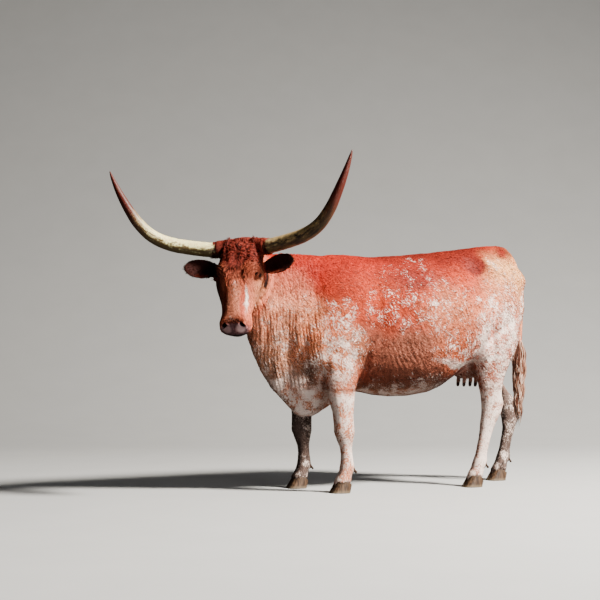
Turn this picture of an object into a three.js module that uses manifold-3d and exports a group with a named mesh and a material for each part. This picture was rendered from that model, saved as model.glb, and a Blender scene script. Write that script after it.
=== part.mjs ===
// A Texas longhorn cow at life size, standing, with her head turned to her left.
// Millimetres, +Z up. Her nose points to -Y, her left side is +X, and the hooves stand on Z = 0.
// The flesh is a set of swept solids that are joined, then parted where a person would name a new part.

import * as THREE from "three";
import { mergeVertices } from "three/addons/utils/BufferGeometryUtils.js";
import Module from "manifold-3d";

const wasm = await Module();
wasm.setup();

// Driving sizes
const GAP = 0.3; // space that two touching solids keep
const LEFT = 1;
const RIGHT = -1;

// Small tools

const vec = (x, y, z) => new THREE.Vector3(x, y, z);
const degrees = THREE.MathUtils.degToRad;
const mix = THREE.MathUtils.lerp;
const power = (value, exponent) => Math.sign(value) * Math.abs(value) ** exponent;

// Smooth value of one column of a table at a place along it, without overshoot between its rows.
function read(rows, by, at, key) {
  const last = rows.length - 1;
  if (at <= rows[0][by]) return rows[0][key];
  if (at >= rows[last][by]) return rows[last][key];
  let i = 0;
  while (rows[i + 1][by] < at) i++;
  const slope = (k) => (rows[k + 1][key] - rows[k][key]) / (rows[k + 1][by] - rows[k][by]);
  const bend = (k) => {
    if (k === 0) return slope(0);
    if (k === last) return slope(last - 1);
    const [before, after] = [slope(k - 1), slope(k)];
    return before * after <= 0 ? 0 : (2 * before * after) / (before + after);
  };
  const span = rows[i + 1][by] - rows[i][by];
  const t = (at - rows[i][by]) / span;
  return (
    (1 + 2 * t) * (1 - t) ** 2 * rows[i][key] +
    t * (1 - t) ** 2 * span * bend(i) +
    t * t * (3 - 2 * t) * rows[i + 1][key] +
    t * t * (t - 1) * span * bend(i + 1)
  );
}

// A closed solid from a geometry of three.js, turned outside out if its faces point inwards.
function solidOf(geometry) {
  const bare = geometry.index ? geometry.toNonIndexed() : geometry.clone();
  bare.deleteAttribute("normal");
  bare.deleteAttribute("uv");
  const merged = mergeVertices(bare, 1e-3);
  const triVerts = new Uint32Array(merged.index.array);
  const vertProperties = merged.attributes.position.array;
  const make = () => new wasm.Manifold(new wasm.Mesh({ numProp: 3, vertProperties, triVerts }));
  const first = make();
  if (first.volume() > 0) return first;
  for (let i = 0; i < triVerts.length; i += 3) {
    [triVerts[i + 1], triVerts[i + 2]] = [triVerts[i + 2], triVerts[i + 1]];
  }
  return make();
}

// A solid whose rings are placed by a function: t runs from 0 to 1 along it, cos and sin go round a
// ring, and reach is 1 on the skin and 0 at the middle of a flat end.
function sweep(around, along, place) {
  const geometry = new THREE.CylinderGeometry(1, 1, 1, around, along);
  const position = geometry.getAttribute("position");
  for (let i = 0; i < position.count; i++) {
    const [cos, sin] = [position.getX(i), position.getZ(i)].map((v) => (Math.abs(v) < 1e-6 ? 0 : v));
    const point = place(0.5 - position.getY(i), cos, sin, cos || sin ? 1 : 0);
    position.setXYZ(i, point.x, point.y, point.z);
  }
  return solidOf(geometry);
}

const join = (solids) => solids.reduce((sum, next) => sum.add(next));
const moved = (solid, matrix) => solid.transform(matrix.toArray());

// Only the largest closed surface of a solid, so that loose scraps of a cut are dropped.
function largest(solid) {
  const bodies = solid.decompose();
  return bodies.reduce((most, next) => (next.volume() > most.volume() ? next : most));
}

// Soft swellings and hollows: each pushes the points near its place, more the nearer they are.
function shaped(point, forms, sides = [LEFT, RIGHT]) {
  const result = point.clone();
  for (const { at, reach, push } of forms) {
    for (const side of at[0] === 0 ? [LEFT] : sides) {
      const distance =
        ((point.x - side * at[0]) / reach[0]) ** 2 +
        ((point.y - at[1]) / reach[1]) ** 2 +
        ((point.z - at[2]) / reach[2]) ** 2;
      const share = Math.exp(-distance);
      result.add(vec(side * push[0] * share, push[1] * share, push[2] * share));
    }
  }
  return result;
}

// Trunk: chest, barrel and rump

// Along the back: top and floor of the trunk, half its width, and the height of its widest level.
const trunkRows = [
  { y: -800, top: 900, floor: 520, half: 44, wide: 690 },
  { y: -770, top: 1010, floor: 468, half: 92, wide: 740 },
  { y: -710, top: 1170, floor: 414, half: 140, wide: 800 },
  { y: -640, top: 1270, floor: 404, half: 172, wide: 830 },
  { y: -560, top: 1296, floor: 440, half: 196, wide: 850 },
  { y: -480, top: 1302, floor: 500, half: 214, wide: 860 },
  { y: -380, top: 1297, floor: 540, half: 246, wide: 850 },
  { y: -250, top: 1294, floor: 518, half: 288, wide: 830 },
  { y: -120, top: 1304, floor: 509, half: 314, wide: 830 },
  { y: 0, top: 1315, floor: 514, half: 322, wide: 840 },
  { y: 110, top: 1330, floor: 545, half: 314, wide: 870 },
  { y: 220, top: 1345, floor: 612, half: 292, wide: 920 },
  { y: 320, top: 1358, floor: 672, half: 262, wide: 970 },
  { y: 420, top: 1369, floor: 716, half: 232, wide: 1000 },
  { y: 500, top: 1378, floor: 752, half: 208, wide: 1010 },
  { y: 570, top: 1372, floor: 786, half: 182, wide: 1030 },
  { y: 625, top: 1322, floor: 830, half: 146, wide: 1060 },
  { y: 665, top: 1250, floor: 890, half: 104, wide: 1080 },
  { y: 690, top: 1190, floor: 970, half: 56, wide: 1090 },
];

// Bones and muscles that show through the hide, on the left; the right is their mirror.
const trunkForms = [
  { name: "shoulder blade", at: [190, -520, 1030], reach: [90, 96, 190], push: [22, 0, 0] },
  { name: "point of the shoulder", at: [150, -690, 800], reach: [74, 74, 96], push: [26, -12, 0] },
  { name: "upper arm", at: [196, -550, 790], reach: [90, 110, 140], push: [34, -4, 0] },
  { name: "hollow behind the shoulder", at: [235, -385, 960], reach: [90, 70, 190], push: [-15, 0, 0] },
  { name: "last ribs", at: [300, 40, 1010], reach: [80, 130, 130], push: [10, 0, 0] },
  { name: "flank hollow", at: [205, 282, 1246], reach: [110, 92, 84], push: [-18, 0, -8] },
  { name: "hook bone", at: [206, 384, 1256], reach: [96, 84, 80], push: [26, 0, 10] },
  { name: "hollow over the hip", at: [170, 492, 1278], reach: [90, 84, 74], push: [-9, 0, -9] },
  { name: "hip joint", at: [205, 500, 1110], reach: [90, 96, 96], push: [12, 0, 0] },
  { name: "thigh", at: [206, 470, 900], reach: [110, 160, 190], push: [46, 0, 0] },
  { name: "back of the thigh", at: [130, 620, 960], reach: [90, 90, 160], push: [18, 12, 0] },
  { name: "tail head side", at: [74, 590, 1308], reach: [56, 64, 64], push: [-16, 2, -12] },
  { name: "pin bone", at: [104, 650, 1186], reach: [64, 64, 70], push: [14, 20, 6] },
  { name: "brisket fold", at: [70, -650, 520], reach: [60, 90, 90], push: [-14, 0, 0] },
];

// Rings stand closer together over the shoulders and the rump than along the barrel.
const trunkSpacing = [
  { t: 0, y: -800 },
  { t: 0.26, y: -470 },
  { t: 0.48, y: 190 },
  { t: 0.9, y: 628 },
  { t: 1, y: 690 },
];

function trunk(grow = 0) {
  return sweep(28, 33, (t, cos, sin, reach) => {
    const y = read(trunkSpacing, "t", t, "y") + (t === 0 ? -grow : t === 1 ? grow : 0);
    const get = (key) => read(trunkRows, "y", y, key);
    const middle = get("wide");
    const rise = sin > 0 ? get("top") - middle : middle - get("floor");
    const chest = THREE.MathUtils.smoothstep(-y, 380, 640); // the brisket narrows to a keel
    const keel = sin < 0 ? 1 - (0.16 + 0.3 * chest) * sin * sin : 1;
    const half = get("half") * keel + grow;
    const point = vec(
      reach * half * power(cos, sin > 0 ? 0.86 : 0.9),
      y,
      middle + reach * (rise + grow) * power(sin, sin > 0 ? 0.94 : 0.86),
    );
    return shaped(point, trunkForms);
  });
}

// Neck: bends to the left towards the head. Its upper edge is the crest and its lower the dewlap.

// Along the neck: crest and dewlap edge (across, along, height) and half the width.
const neckRows = [
  { t: 0, crestX: 0, crestY: -420, crestZ: 1250, keelX: 0, keelY: -560, keelZ: 486, half: 150 },
  { t: 0.18, crestX: 0, crestY: -560, crestZ: 1293, keelX: 0, keelY: -690, keelZ: 402, half: 150 },
  { t: 0.36, crestX: 2, crestY: -690, crestZ: 1300, keelX: 0, keelY: -800, keelZ: 492, half: 140 },
  { t: 0.52, crestX: 16, crestY: -800, crestZ: 1298, keelX: 4, keelY: -892, keelZ: 590, half: 128 },
  { t: 0.68, crestX: 46, crestY: -902, crestZ: 1294, keelX: 24, keelY: -972, keelZ: 716, half: 116 },
  { t: 0.84, crestX: 96, crestY: -1004, crestZ: 1298, keelX: 78, keelY: -1020, keelZ: 872, half: 108 },
  { t: 1, crestX: 150, crestY: -1092, crestZ: 1308, keelX: 160, keelY: -1060, keelZ: 1020, half: 96 },
];

// Hollows and swellings of the neck. It bends to her left, so her left side has its own places.
const neckForms = [
  { name: "jugular groove, high", at: [150, -900, 960], reach: [80, 50, 110], push: [-14, 6, 0] },
  { name: "jugular groove, middle", at: [122, -836, 830], reach: [80, 44, 110], push: [-20, 8, 0] },
  { name: "jugular groove, low", at: [112, -786, 700], reach: [80, 42, 90], push: [-18, 6, 0] },
  { name: "muscle before the shoulder", at: [140, -740, 960], reach: [70, 60, 190], push: [10, 0, 0] },
  { name: "jugular groove, right", at: [-110, -860, 850], reach: [80, 60, 190], push: [16, 6, 0] },
];

function neck(grow = 0) {
  return sweep(24, 16, (t, cos, sin, reach) => {
    const get = (key, at = t) => read(neckRows, "t", at, key);
    const edge = (name, at) => vec(get(`${name}X`, at), get(`${name}Y`, at), get(`${name}Z`, at));
    const middleAt = (at) => edge("crest", at).lerp(edge("keel", at), 0.45);
    const middle = middleAt(t);
    const ahead = middleAt(Math.min(1, t + 0.02)).sub(middleAt(Math.max(0, t - 0.02)));
    const tip = sin > 0 ? edge("crest", t) : edge("keel", t);
    const up = tip.clone().sub(middle).multiplyScalar(sin > 0 ? 1 : -1);
    const rise = up.length() + grow;
    up.normalize();
    const side = vec().crossVectors(up, ahead).normalize(); // her left
    const dewlap = sin < -0.3 ? 0.55 * ((-sin - 0.3) / 0.7) ** 1.3 : 0;
    const half = get("half") * (1 - dewlap) + grow;
    const point = middle
      .addScaledVector(side, reach * half * power(cos, 0.84))
      .addScaledVector(up, reach * rise * power(sin, 0.95));
    return shaped(point, neckForms, [LEFT]);
  });
}

// Head

const headYaw = degrees(51); // turned to her left
const headPitch = degrees(66); // how far the line from poll to nose points below the level
const headRoll = degrees(3); // her left side a little higher
const poll = vec(206, -1140, 1354); // top of the head, between the horns

// Head frame: X is her left, Y runs down the face from poll to nose, Z stands out of the forehead.
const level = vec(Math.sin(headYaw), -Math.cos(headYaw), 0);
const headLeft = vec(Math.cos(headYaw), Math.sin(headYaw), 0).applyAxisAngle(level, headRoll);
const headUp = vec().crossVectors(headLeft, level).negate();
const down = level.clone().multiplyScalar(Math.cos(headPitch)).addScaledVector(headUp, -Math.sin(headPitch));
const out = level.clone().multiplyScalar(Math.sin(headPitch)).addScaledVector(headUp, Math.cos(headPitch));
const headFrame = new THREE.Matrix4().makeBasis(headLeft, down, out).setPosition(poll);

// Down the face: height of the face and of the jaw's edge, half the width, and the widest level.
const headRows = [
  { y: -14, face: -34, jaw: -96, half: 66, wide: -64 },
  { y: 0, face: -14, jaw: -126, half: 98, wide: -68 },
  { y: 30, face: 4, jaw: -160, half: 120, wide: -68 },
  { y: 80, face: 18, jaw: -196, half: 122, wide: -62 },
  { y: 140, face: 25, jaw: -220, half: 121, wide: -54 },
  { y: 200, face: 21, jaw: -232, half: 123, wide: -58 },
  { y: 250, face: 12, jaw: -224, half: 113, wide: -66 },
  { y: 310, face: 5, jaw: -194, half: 97, wide: -70 },
  { y: 370, face: 1, jaw: -164, half: 84, wide: -68 },
  { y: 420, face: -1, jaw: -146, half: 78, wide: -64 },
  { y: 454, face: -5, jaw: -140, half: 82, wide: -64 },
  { y: 480, face: -16, jaw: -136, half: 82, wide: -70 },
  { y: 500, face: -34, jaw: -128, half: 72, wide: -76 },
  { y: 514, face: -54, jaw: -114, half: 52, wide: -82 },
  { y: 520, face: -70, jaw: -100, half: 28, wide: -85 },
];

const headForms = [
  { name: "brow", at: [100, 172, 8], reach: [40, 46, 40], push: [10, 0, 10] },
  { name: "eye hollow", at: [122, 212, -14], reach: [36, 30, 26], push: [-8, 0, -6] },
  { name: "rim behind the eye", at: [124, 196, -72], reach: [40, 50, 30], push: [8, 0, 0] },
  { name: "cheek bone", at: [108, 268, -60], reach: [40, 60, 24], push: [9, 0, 4] },
  { name: "cheek", at: [96, 220, -160], reach: [50, 80, 50], push: [12, 0, 0] },
  { name: "nasal bone", at: [20, 330, 4], reach: [30, 110, 30], push: [0, 0, 7] },
  { name: "slope beside the nose", at: [74, 350, -20], reach: [34, 80, 30], push: [-8, 0, -6] },
  { name: "temple", at: [124, 100, -60], reach: [40, 34, 50], push: [-10, 0, 0] },
  { name: "nostril wing", at: [56, 474, -28], reach: [26, 26, 26], push: [10, 4, 8] },
  { name: "upper lip", at: [76, 470, -84], reach: [34, 40, 20], push: [7, 3, 0] },
  { name: "hollow between the nostrils", at: [0, 494, -30], reach: [16, 20, 20], push: [0, -3, -3] },
  { name: "chin", at: [0, 486, -134], reach: [44, 30, 24], push: [0, 5, -7] },
];

function skull(grow = 0, around = 26, along = 23) {
  const [first, last] = [headRows[0].y, headRows.at(-1).y];
  return sweep(around, along, (t, cos, sin, reach) => {
    const end = Math.sin((t - 0.5) * Math.PI) * 0.5 + 0.5;
    const y = mix(first, last, mix(t, end, 0.7)) + (t === 0 ? -grow : t === 1 ? grow : 0);
    const get = (key) => read(headRows, "y", y, key);
    const middle = get("wide");
    const rise = (sin > 0 ? get("face") - middle : middle - get("jaw")) + grow;
    const jaw = sin < 0 ? 1 - 0.42 * sin * sin : 1;
    const point = vec(
      reach * (get("half") * jaw + grow) * power(cos, sin > 0 ? 0.66 : 0.84),
      y,
      middle + reach * rise * power(sin, sin > 0 ? 0.86 : 0.9),
    );
    return shaped(point, headForms);
  });
}

// Eyes: a ball in a socket, looking outwards and a little forwards
const eyeRadius = 20;
const eyeAt = vec(106, 212, -22);
const eyeLook = vec(0.84, 0.1, 0.53).normalize();

function eyeFrame(side) {
  const look = vec(side * eyeLook.x, eyeLook.y, eyeLook.z);
  const along = vec(0, 1, 0).addScaledVector(look, -look.y).normalize();
  const across = vec().crossVectors(look, along);
  return new THREE.Matrix4()
    .makeBasis(along, across, look)
    .setPosition(side * eyeAt.x, eyeAt.y, eyeAt.z);
}

const ball = (radius, around, along) => solidOf(new THREE.SphereGeometry(radius, around, along));
const eyeball = (side, grow = 0) => moved(ball(eyeRadius + grow, 14, 8), eyeFrame(side));

// Lids: an almond rim round the ball, thicker above it
function lids(side) {
  const rim = new THREE.TorusGeometry(eyeRadius - 1, 6.5, 5, 14);
  const almond = new THREE.Matrix4()
    .makeScale(1, 0.74, 1)
    .setPosition(0, 0, 7);
  return moved(moved(solidOf(rim), almond), eyeFrame(side));
}

// Nostrils: a comma that opens forwards and outwards
function nostril(side) {
  const pocket = new THREE.Matrix4().compose(
    vec(side * 47, 486, -28),
    new THREE.Quaternion().setFromEuler(new THREE.Euler(-0.5, 0, side * -0.6)),
    vec(0.6, 1.15, 1),
  );
  return moved(ball(17, 10, 8), pocket);
}

// Mouth: a thin slit round the muzzle, only as deep as the lips
function mouth() {
  const slit = new THREE.BoxGeometry(200, 130, 3.2, 6, 4, 1);
  const position = slit.getAttribute("position");
  for (let i = 0; i < position.count; i++) {
    const [x, y, z] = [position.getX(i), position.getY(i), position.getZ(i)];
    const droop = 10 * (x / 90) ** 2;
    position.setXYZ(i, x, y + 472, z - 94 - droop * 0.4 - 0.00055 * (y + 20) ** 2);
  }
  return solidOf(slit).subtract(skull(-9, 12, 10));
}

// Horns

// A horn from its root in the head: sideways, forward and up from the poll
const hornPoints = [
  [60, -44, -40],
  [110, -36, -48],
  [160, -19, -47],
  [222, -8, -38],
  [286, 10, -26],
  [351, 33, -11],
  [415, 62, 15],
  [468, 88, 53],
  [519, 111, 114],
  [555, 124, 175],
  [587, 132, 237],
  [615, 137, 298],
  [640, 140, 361],
  [651, 141, 393],
];
const hornRadii = [
  { t: 0, radius: 38 },
  { t: 0.125, radius: 39.5 },
  { t: 0.36, radius: 37.3 },
  { t: 0.53, radius: 33 },
  { t: 0.63, radius: 30 },
  { t: 0.715, radius: 26 },
  { t: 0.8, radius: 21.5 },
  { t: 0.88, radius: 16 },
  { t: 0.96, radius: 9 },
  { t: 1, radius: 2.5 },
];
const hornRings = 5; // growth rings that show near the root

const hornSpread = { [LEFT]: 1.02, [RIGHT]: 1 }; // her left horn reaches a little further out

const hornPath = (side) =>
  new THREE.CatmullRomCurve3(
    hornPoints.map(([across, ahead, up]) =>
      poll
        .clone()
        .addScaledVector(headLeft, side * across * hornSpread[side])
        .addScaledVector(level, ahead)
        .addScaledVector(headUp, up),
    ),
  );

// A round solid along part of the horn's path, with a radius that is a function of t from 0 to 1
function roundHorn(side, around, along, reachOf, radiusOf, grow = 0) {
  const path = hornPath(side);
  return sweep(around, along, (t, cos, sin, reach) => {
    const middle = path.getPointAt(t * reachOf);
    const ahead = path.getTangentAt(t * reachOf);
    const over = vec().crossVectors(ahead, level).normalize();
    const front = vec().crossVectors(over, ahead).normalize();
    const radius = reach * (radiusOf(t) + grow);
    return middle
      .addScaledVector(ahead, t === 0 ? -grow : 0)
      .addScaledVector(over, radius * cos)
      .addScaledVector(front, radius * sin * 0.94);
  });
}

function horn(side, grow = 0) {
  const ripple = (t) => (t > 0.14 && t < 0.45 ? 0.9 * Math.sin((t - 0.14) * hornRings * 40) : 0);
  return roundHorn(side, 12, 19, 1, (t) => read(hornRadii, "t", t, "radius") + ripple(t), grow);
}

// The furred base of a horn, as a collar that thins outwards
const hornBase = (side) => roundHorn(side, 14, 3, 0.12, (t) => mix(50, 43.5, t));

// The ridge of the poll, from one horn's base to the other's
function pollRidge() {
  const [start] = hornPoints;
  const root = vec(0, 0, 0).addScaledVector(level, start[1]).addScaledVector(headUp, start[2]);
  return sweep(14, 6, (t, cos, sin, reach) => {
    const across = mix(-1, 1, t);
    const radius = reach * (50 + 5 * (1 - across ** 2));
    return poll
      .clone()
      .add(root)
      .addScaledVector(headLeft, across * start[0] * 1.1)
      .addScaledVector(headUp, radius * cos)
      .addScaledVector(level, radius * sin);
  });
}

// Ears: a cupped leaf that stands out sideways, its open side to the front

const earLength = 206;
const earThick = 12; // with the hair on both faces
const earRows = [
  { t: 0, half: 22, cup: 15 },
  { t: 0.12, half: 32, cup: 24 },
  { t: 0.35, half: 50, cup: 28 },
  { t: 0.58, half: 56, cup: 22 },
  { t: 0.8, half: 49, cup: 12 },
  { t: 0.94, half: 31, cup: 5 },
  { t: 1, half: 12, cup: 1 },
];
const earRoot = vec(102, 136, -84);
const earAhead = 0.3; // how far the ears point forwards

// How far the middle of the ear lies in front of its root
const earArch = (t) => 10 * Math.sin(t * Math.PI) - 6 * t;

function ear(side, grow = 0) {
  const steps = 9;
  const across = 8;
  const leaf = new THREE.BoxGeometry(1, 1, 1, steps, across, 1);
  const position = leaf.getAttribute("position");
  const place = new THREE.Matrix4()
    .makeRotationFromEuler(new THREE.Euler(0, -side * earAhead, side * 0.04))
    .setPosition(side * earRoot.x, earRoot.y, earRoot.z);
  for (let i = 0; i < position.count; i++) {
    const t = position.getX(i) + 0.5;
    const half = read(earRows, "t", t, "half");
    const width = 2 * position.getY(i) * (half + grow);
    const curl = 1 - (width / half) ** 2;
    const thick = earThick * (0.22 + 0.28 * Math.max(0, curl)) + grow;
    position.setXYZ(
      i,
      side * (earLength * t + (t === 0 ? -grow : t === 1 ? grow : 0)),
      width + 6 * t - 16 * t * t,
      Math.sign(position.getZ(i)) * thick - read(earRows, "t", t, "cup") * curl + earArch(t),
    );
  }
  return moved(solidOf(leaf), new THREE.Matrix4().multiplyMatrices(headFrame, place));
}

// Hair: a lock is a flat, tapered strip that bends along its lie

function lock({ root, lie, fall, length, width, thick, around = 5, steps = 4 }) {
  const side = vec().crossVectors(lie, fall).normalize();
  return sweep(around, steps, (t, cos, sin, reach) => {
    const direction = lie.clone().lerp(fall, t * 0.8).normalize();
    const middle = root.clone().addScaledVector(direction, length * t);
    const flat = vec().crossVectors(direction, side).normalize();
    const taper = Math.max(0.12, (1 - t ** 2.2) * (0.55 + 0.9 * Math.min(t * 2, 0.5)));
    return middle
      .addScaledVector(side, (reach * cos * width * taper) / 2)
      .addScaledVector(flat, (reach * sin * thick * taper) / 2);
  });
}

// A repeatable row of numbers from 0 to 1
function seeded(seed) {
  let state = seed;
  return () => {
    state = (state * 1664525 + 1013904223) % 4294967296;
    return state / 4294967296;
  };
}

// Height of the forehead beside the middle line of the face
function foreheadAt(x, y) {
  const get = (key) => read(headRows, "y", y, key);
  const cos = Math.min(0.98, Math.abs(x) / get("half")) ** (1 / 0.66);
  return get("wide") + (get("face") - get("wide")) * (1 - cos ** 2) ** 0.43;
}

// Curls of the poll: flat locks that lie down the forehead between the horns and overlap in rows
const curlRows = 4;
const curlRise = 9; // how far a curl stands off the forehead

function curl(x, y, drift, length, width) {
  return sweep(4, 3, (t, cos, sin, reach) => {
    const sway = x + drift * length * t + 5 * Math.sin(t * 5 + x);
    const along = y + length * t;
    const taper = Math.max(0.16, 1 - t ** 2) * Math.min(1, 0.6 + t);
    const rise = mix(-7, curlRise, Math.sin(Math.min(1, t * 1.8) * Math.PI * 0.5)) - 3 * t;
    return vec(
      sway + (reach * cos * width * taper) / 2,
      along,
      foreheadAt(sway, along) + rise + reach * sin * 5 * taper,
    );
  });
}

function pollCurls() {
  const draw = seeded(7);
  const made = [];
  for (let row = 0; row < curlRows; row++) {
    const count = 5 - (row % 2);
    for (let i = 0; i < count; i++) {
      const across = (i / (count - 1) - 0.5) * 2;
      const x = across * (70 - row * 5) + (draw() - 0.5) * 8;
      const y = 4 + row * 27 + (draw() - 0.5) * 8;
      made.push(curl(x, y, across * 0.25 + (draw() - 0.5) * 0.4, 52 + draw() * 14, 30));
    }
  }
  return join(made);
}

function head(grow = 0) {
  const bare = grow ? skull(grow) : join([skull(), lids(LEFT), lids(RIGHT), pollCurls()]);
  if (grow) return moved(bare, headFrame);
  const cut = join([eyeball(LEFT, GAP), eyeball(RIGHT, GAP), nostril(LEFT), nostril(RIGHT), mouth()]);
  return join([moved(bare.subtract(cut), headFrame), hornBase(LEFT), hornBase(RIGHT), pollRidge()]);
}

// Legs

// Down each leg: middle of the leg across and along the cow, half its depth and half its width.
const foreRows = [
  { z: 30, x: 176, y: -530, deep: 46, wide: 46 },
  { z: 72, x: 176, y: -522, deep: 45, wide: 47 },
  { z: 104, x: 175, y: -508, deep: 37, wide: 40 },
  { z: 142, x: 174, y: -497, deep: 40, wide: 39 },
  { z: 176, x: 173, y: -497, deep: 34, wide: 33 },
  { z: 226, x: 172, y: -501, deep: 32, wide: 31 },
  { z: 272, x: 172, y: -506, deep: 42, wide: 39 },
  { z: 312, x: 172, y: -511, deep: 55, wide: 46 },
  { z: 352, x: 173, y: -513, deep: 56, wide: 47 },
  { z: 400, x: 175, y: -519, deep: 57, wide: 45 },
  { z: 480, x: 178, y: -529, deep: 70, wide: 52 },
  { z: 560, x: 178, y: -536, deep: 84, wide: 60 },
  { z: 640, x: 168, y: -542, deep: 100, wide: 68 },
  { z: 740, x: 150, y: -550, deep: 106, wide: 72 },
  { z: 840, x: 120, y: -556, deep: 90, wide: 62 },
];
const hindRows = [
  { z: 30, x: 158, y: 306, deep: 46, wide: 44 },
  { z: 72, x: 158, y: 314, deep: 45, wide: 45 },
  { z: 104, x: 158, y: 328, deep: 37, wide: 39 },
  { z: 144, x: 158, y: 344, deep: 40, wide: 38 },
  { z: 182, x: 158, y: 353, deep: 34, wide: 31 },
  { z: 240, x: 159, y: 367, deep: 34, wide: 29 },
  { z: 310, x: 160, y: 386, deep: 40, wide: 32 },
  { z: 370, x: 161, y: 401, deep: 50, wide: 38 },
  { z: 430, x: 163, y: 419, deep: 60, wide: 42 },
  { z: 490, x: 166, y: 418, deep: 62, wide: 44 },
  { z: 570, x: 170, y: 412, deep: 76, wide: 56 },
  { z: 660, x: 164, y: 420, deep: 94, wide: 78 },
  { z: 760, x: 150, y: 440, deep: 130, wide: 108 },
  { z: 850, x: 134, y: 462, deep: 150, wide: 122 },
  { z: 940, x: 122, y: 486, deep: 142, wide: 116 },
];

const foreForms = [
  { name: "elbow", at: [176, -446, 640], reach: [60, 36, 50], push: [6, 20, 0] },
  { name: "knee", at: [172, -566, 330], reach: [50, 22, 42], push: [0, -5, 0] },
  { name: "back of the knee", at: [172, -452, 338], reach: [40, 20, 26], push: [0, 6, 0] },
  { name: "back of the fetlock", at: [174, -458, 134], reach: [44, 20, 22], push: [0, 7, 0] },
];
const hindForms = [
  { name: "point of the hock", at: [163, 478, 462], reach: [40, 26, 40], push: [0, 20, 8] },
  { name: "tendon hollow", at: [168, 484, 560], reach: [40, 30, 44], push: [0, -12, 0] },
  { name: "stifle", at: [200, 318, 770], reach: [70, 42, 62], push: [10, -14, 0] },
  { name: "back of the fetlock", at: [158, 382, 136], reach: [44, 20, 22], push: [0, 7, 0] },
];

// Where each foot stands: how far its leg is set forward or back, most at the hoof
const stance = {
  fore_left: { side: LEFT, rows: foreRows, forms: foreForms, shift: 0, top: 840 },
  fore_right: { side: RIGHT, rows: foreRows, forms: foreForms, shift: -100, top: 840 },
  hind_left: { side: LEFT, rows: hindRows, forms: hindForms, shift: 0, top: 940 },
  hind_right: { side: RIGHT, rows: hindRows, forms: hindForms, shift: 350, top: 940 },
};

// A leg set forward or back swings from its top, and the swing fades out in the thigh or shoulder.
const swing = (leg, z) => leg.shift * (1 - THREE.MathUtils.smoothstep(z, 300, leg.top));

function limb(leg, grow = 0) {
  const { side, rows, forms } = leg;
  const [low, high] = [rows[0].z, rows.at(-1).z];
  return sweep(14, 19, (t, cos, sin, reach) => {
    const z = mix(low, high, t ** 1.35) + (t === 0 ? -grow : 0);
    const get = (key) => read(rows, "z", z, key);
    const point = vec(
      side * (get("x") + reach * (get("wide") + grow) * power(cos, 0.88)),
      get("y") + reach * (get("deep") + grow) * power(sin, 0.9),
      z,
    );
    const result = shaped(point, forms, [side]);
    result.y += swing(leg, z);
    return result;
  });
}

// Claws: two to a foot, flat underneath, with a sloping toe

const clawHeight = 66;
const clawGap = 5; // the cleft between the two claws

function claw(leg, outer, grow = 0) {
  const { side, rows } = leg;
  const middleX = read(rows, "z", 72, "x");
  const middleY = read(rows, "z", 72, "y") + swing(leg, 72);
  return sweep(14, 3, (t, cos, sin, reach) => {
    const height = t * clawHeight;
    const length = mix(56, 41, t) + grow;
    const slope = mix(-22, 4, t);
    const inner = cos * outer < 0;
    const width = (inner ? 5 : mix(43, 37, t)) + grow;
    const along = reach * length * power(sin, 0.85);
    const across = reach * width * power(cos, inner ? 0.4 : 0.8);
    const heel = THREE.MathUtils.smoothstep(along, -10, 50);
    return vec(
      side * middleX + side * outer * (clawGap / 2 + 5 + 0.1) + side * across,
      middleY + slope + along,
      Math.max(0, height * (1 - 0.34 * heel)) + (t === 1 ? grow : t === 0 ? -grow : 0),
    );
  });
}

// Dewclaws: two small horny cones behind the fetlock
function dewclaws(leg) {
  const { side, rows } = leg;
  return join(
    [-1, 1].map((which) => {
      const place = new THREE.Matrix4()
        .makeRotationX(degrees(-58))
        .setPosition(
          side * read(rows, "z", 128, "x") + which * 19,
          read(rows, "z", 128, "y") + swing(leg, 128) + 44,
          116,
        );
      return moved(solidOf(new THREE.CylinderGeometry(11, 6, 30, 7, 1)), place);
    }),
  );
}

// Udder: small, between the thighs, with four teats

function udder() {
  const bag = new THREE.SphereGeometry(1, 16, 10);
  const position = bag.getAttribute("position");
  for (let i = 0; i < position.count; i++) {
    const [x, y, z] = [position.getX(i), position.getY(i), position.getZ(i)];
    position.setXYZ(i, x * 92 * (1 - 0.12 * z), 356 + y * 118, 702 + z * 96 + y * 6);
  }
  const teats = [-1, 1].flatMap((side) =>
    [0, 1].map((back) => {
      const teat = new THREE.CapsuleGeometry(12, 50, 2, 8);
      const place = new THREE.Matrix4()
        .makeRotationX(degrees(84))
        .setPosition(side * (34 - back * 4), 318 + back * 78, 594 - back * 2);
      return moved(solidOf(teat), place);
    }),
  );
  return join([solidOf(bag), ...teats]);
}

// Tail: the dock hangs close behind the rump, and ends in the switch

const tailPath = new THREE.CatmullRomCurve3([
  vec(0, 500, 1335),
  vec(0, 560, 1354),
  vec(0, 612, 1334),
  vec(0, 650, 1280),
  vec(0, 682, 1210),
  vec(1, 712, 1120),
  vec(2, 716, 1020),
  vec(3, 712, 900),
  vec(4, 708, 800),
  vec(4, 704, 690),
]);
const tailRows = [
  { t: 0, radius: 30 },
  { t: 0.15, radius: 36 },
  { t: 0.3, radius: 33 },
  { t: 0.45, radius: 26 },
  { t: 0.7, radius: 18 },
  { t: 1, radius: 13 },
];
const switchTop = 0.82; // where the long hair starts along the tail
const switchEnd = 300; // height of the lowest hair

function dock(grow = 0) {
  return sweep(10, 16, (t, cos, sin, reach) => {
    const middle = tailPath.getPointAt(t);
    const ahead = tailPath.getTangentAt(t);
    const side = vec(1, 0, 0);
    const back = vec().crossVectors(ahead, side).normalize();
    const radius = read(tailRows, "t", t, "radius") + grow;
    return middle
      .addScaledVector(ahead, t === 0 ? -grow : 0)
      .addScaledVector(side, reach * radius * cos)
      .addScaledVector(back, reach * radius * sin);
  });
}

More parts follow.
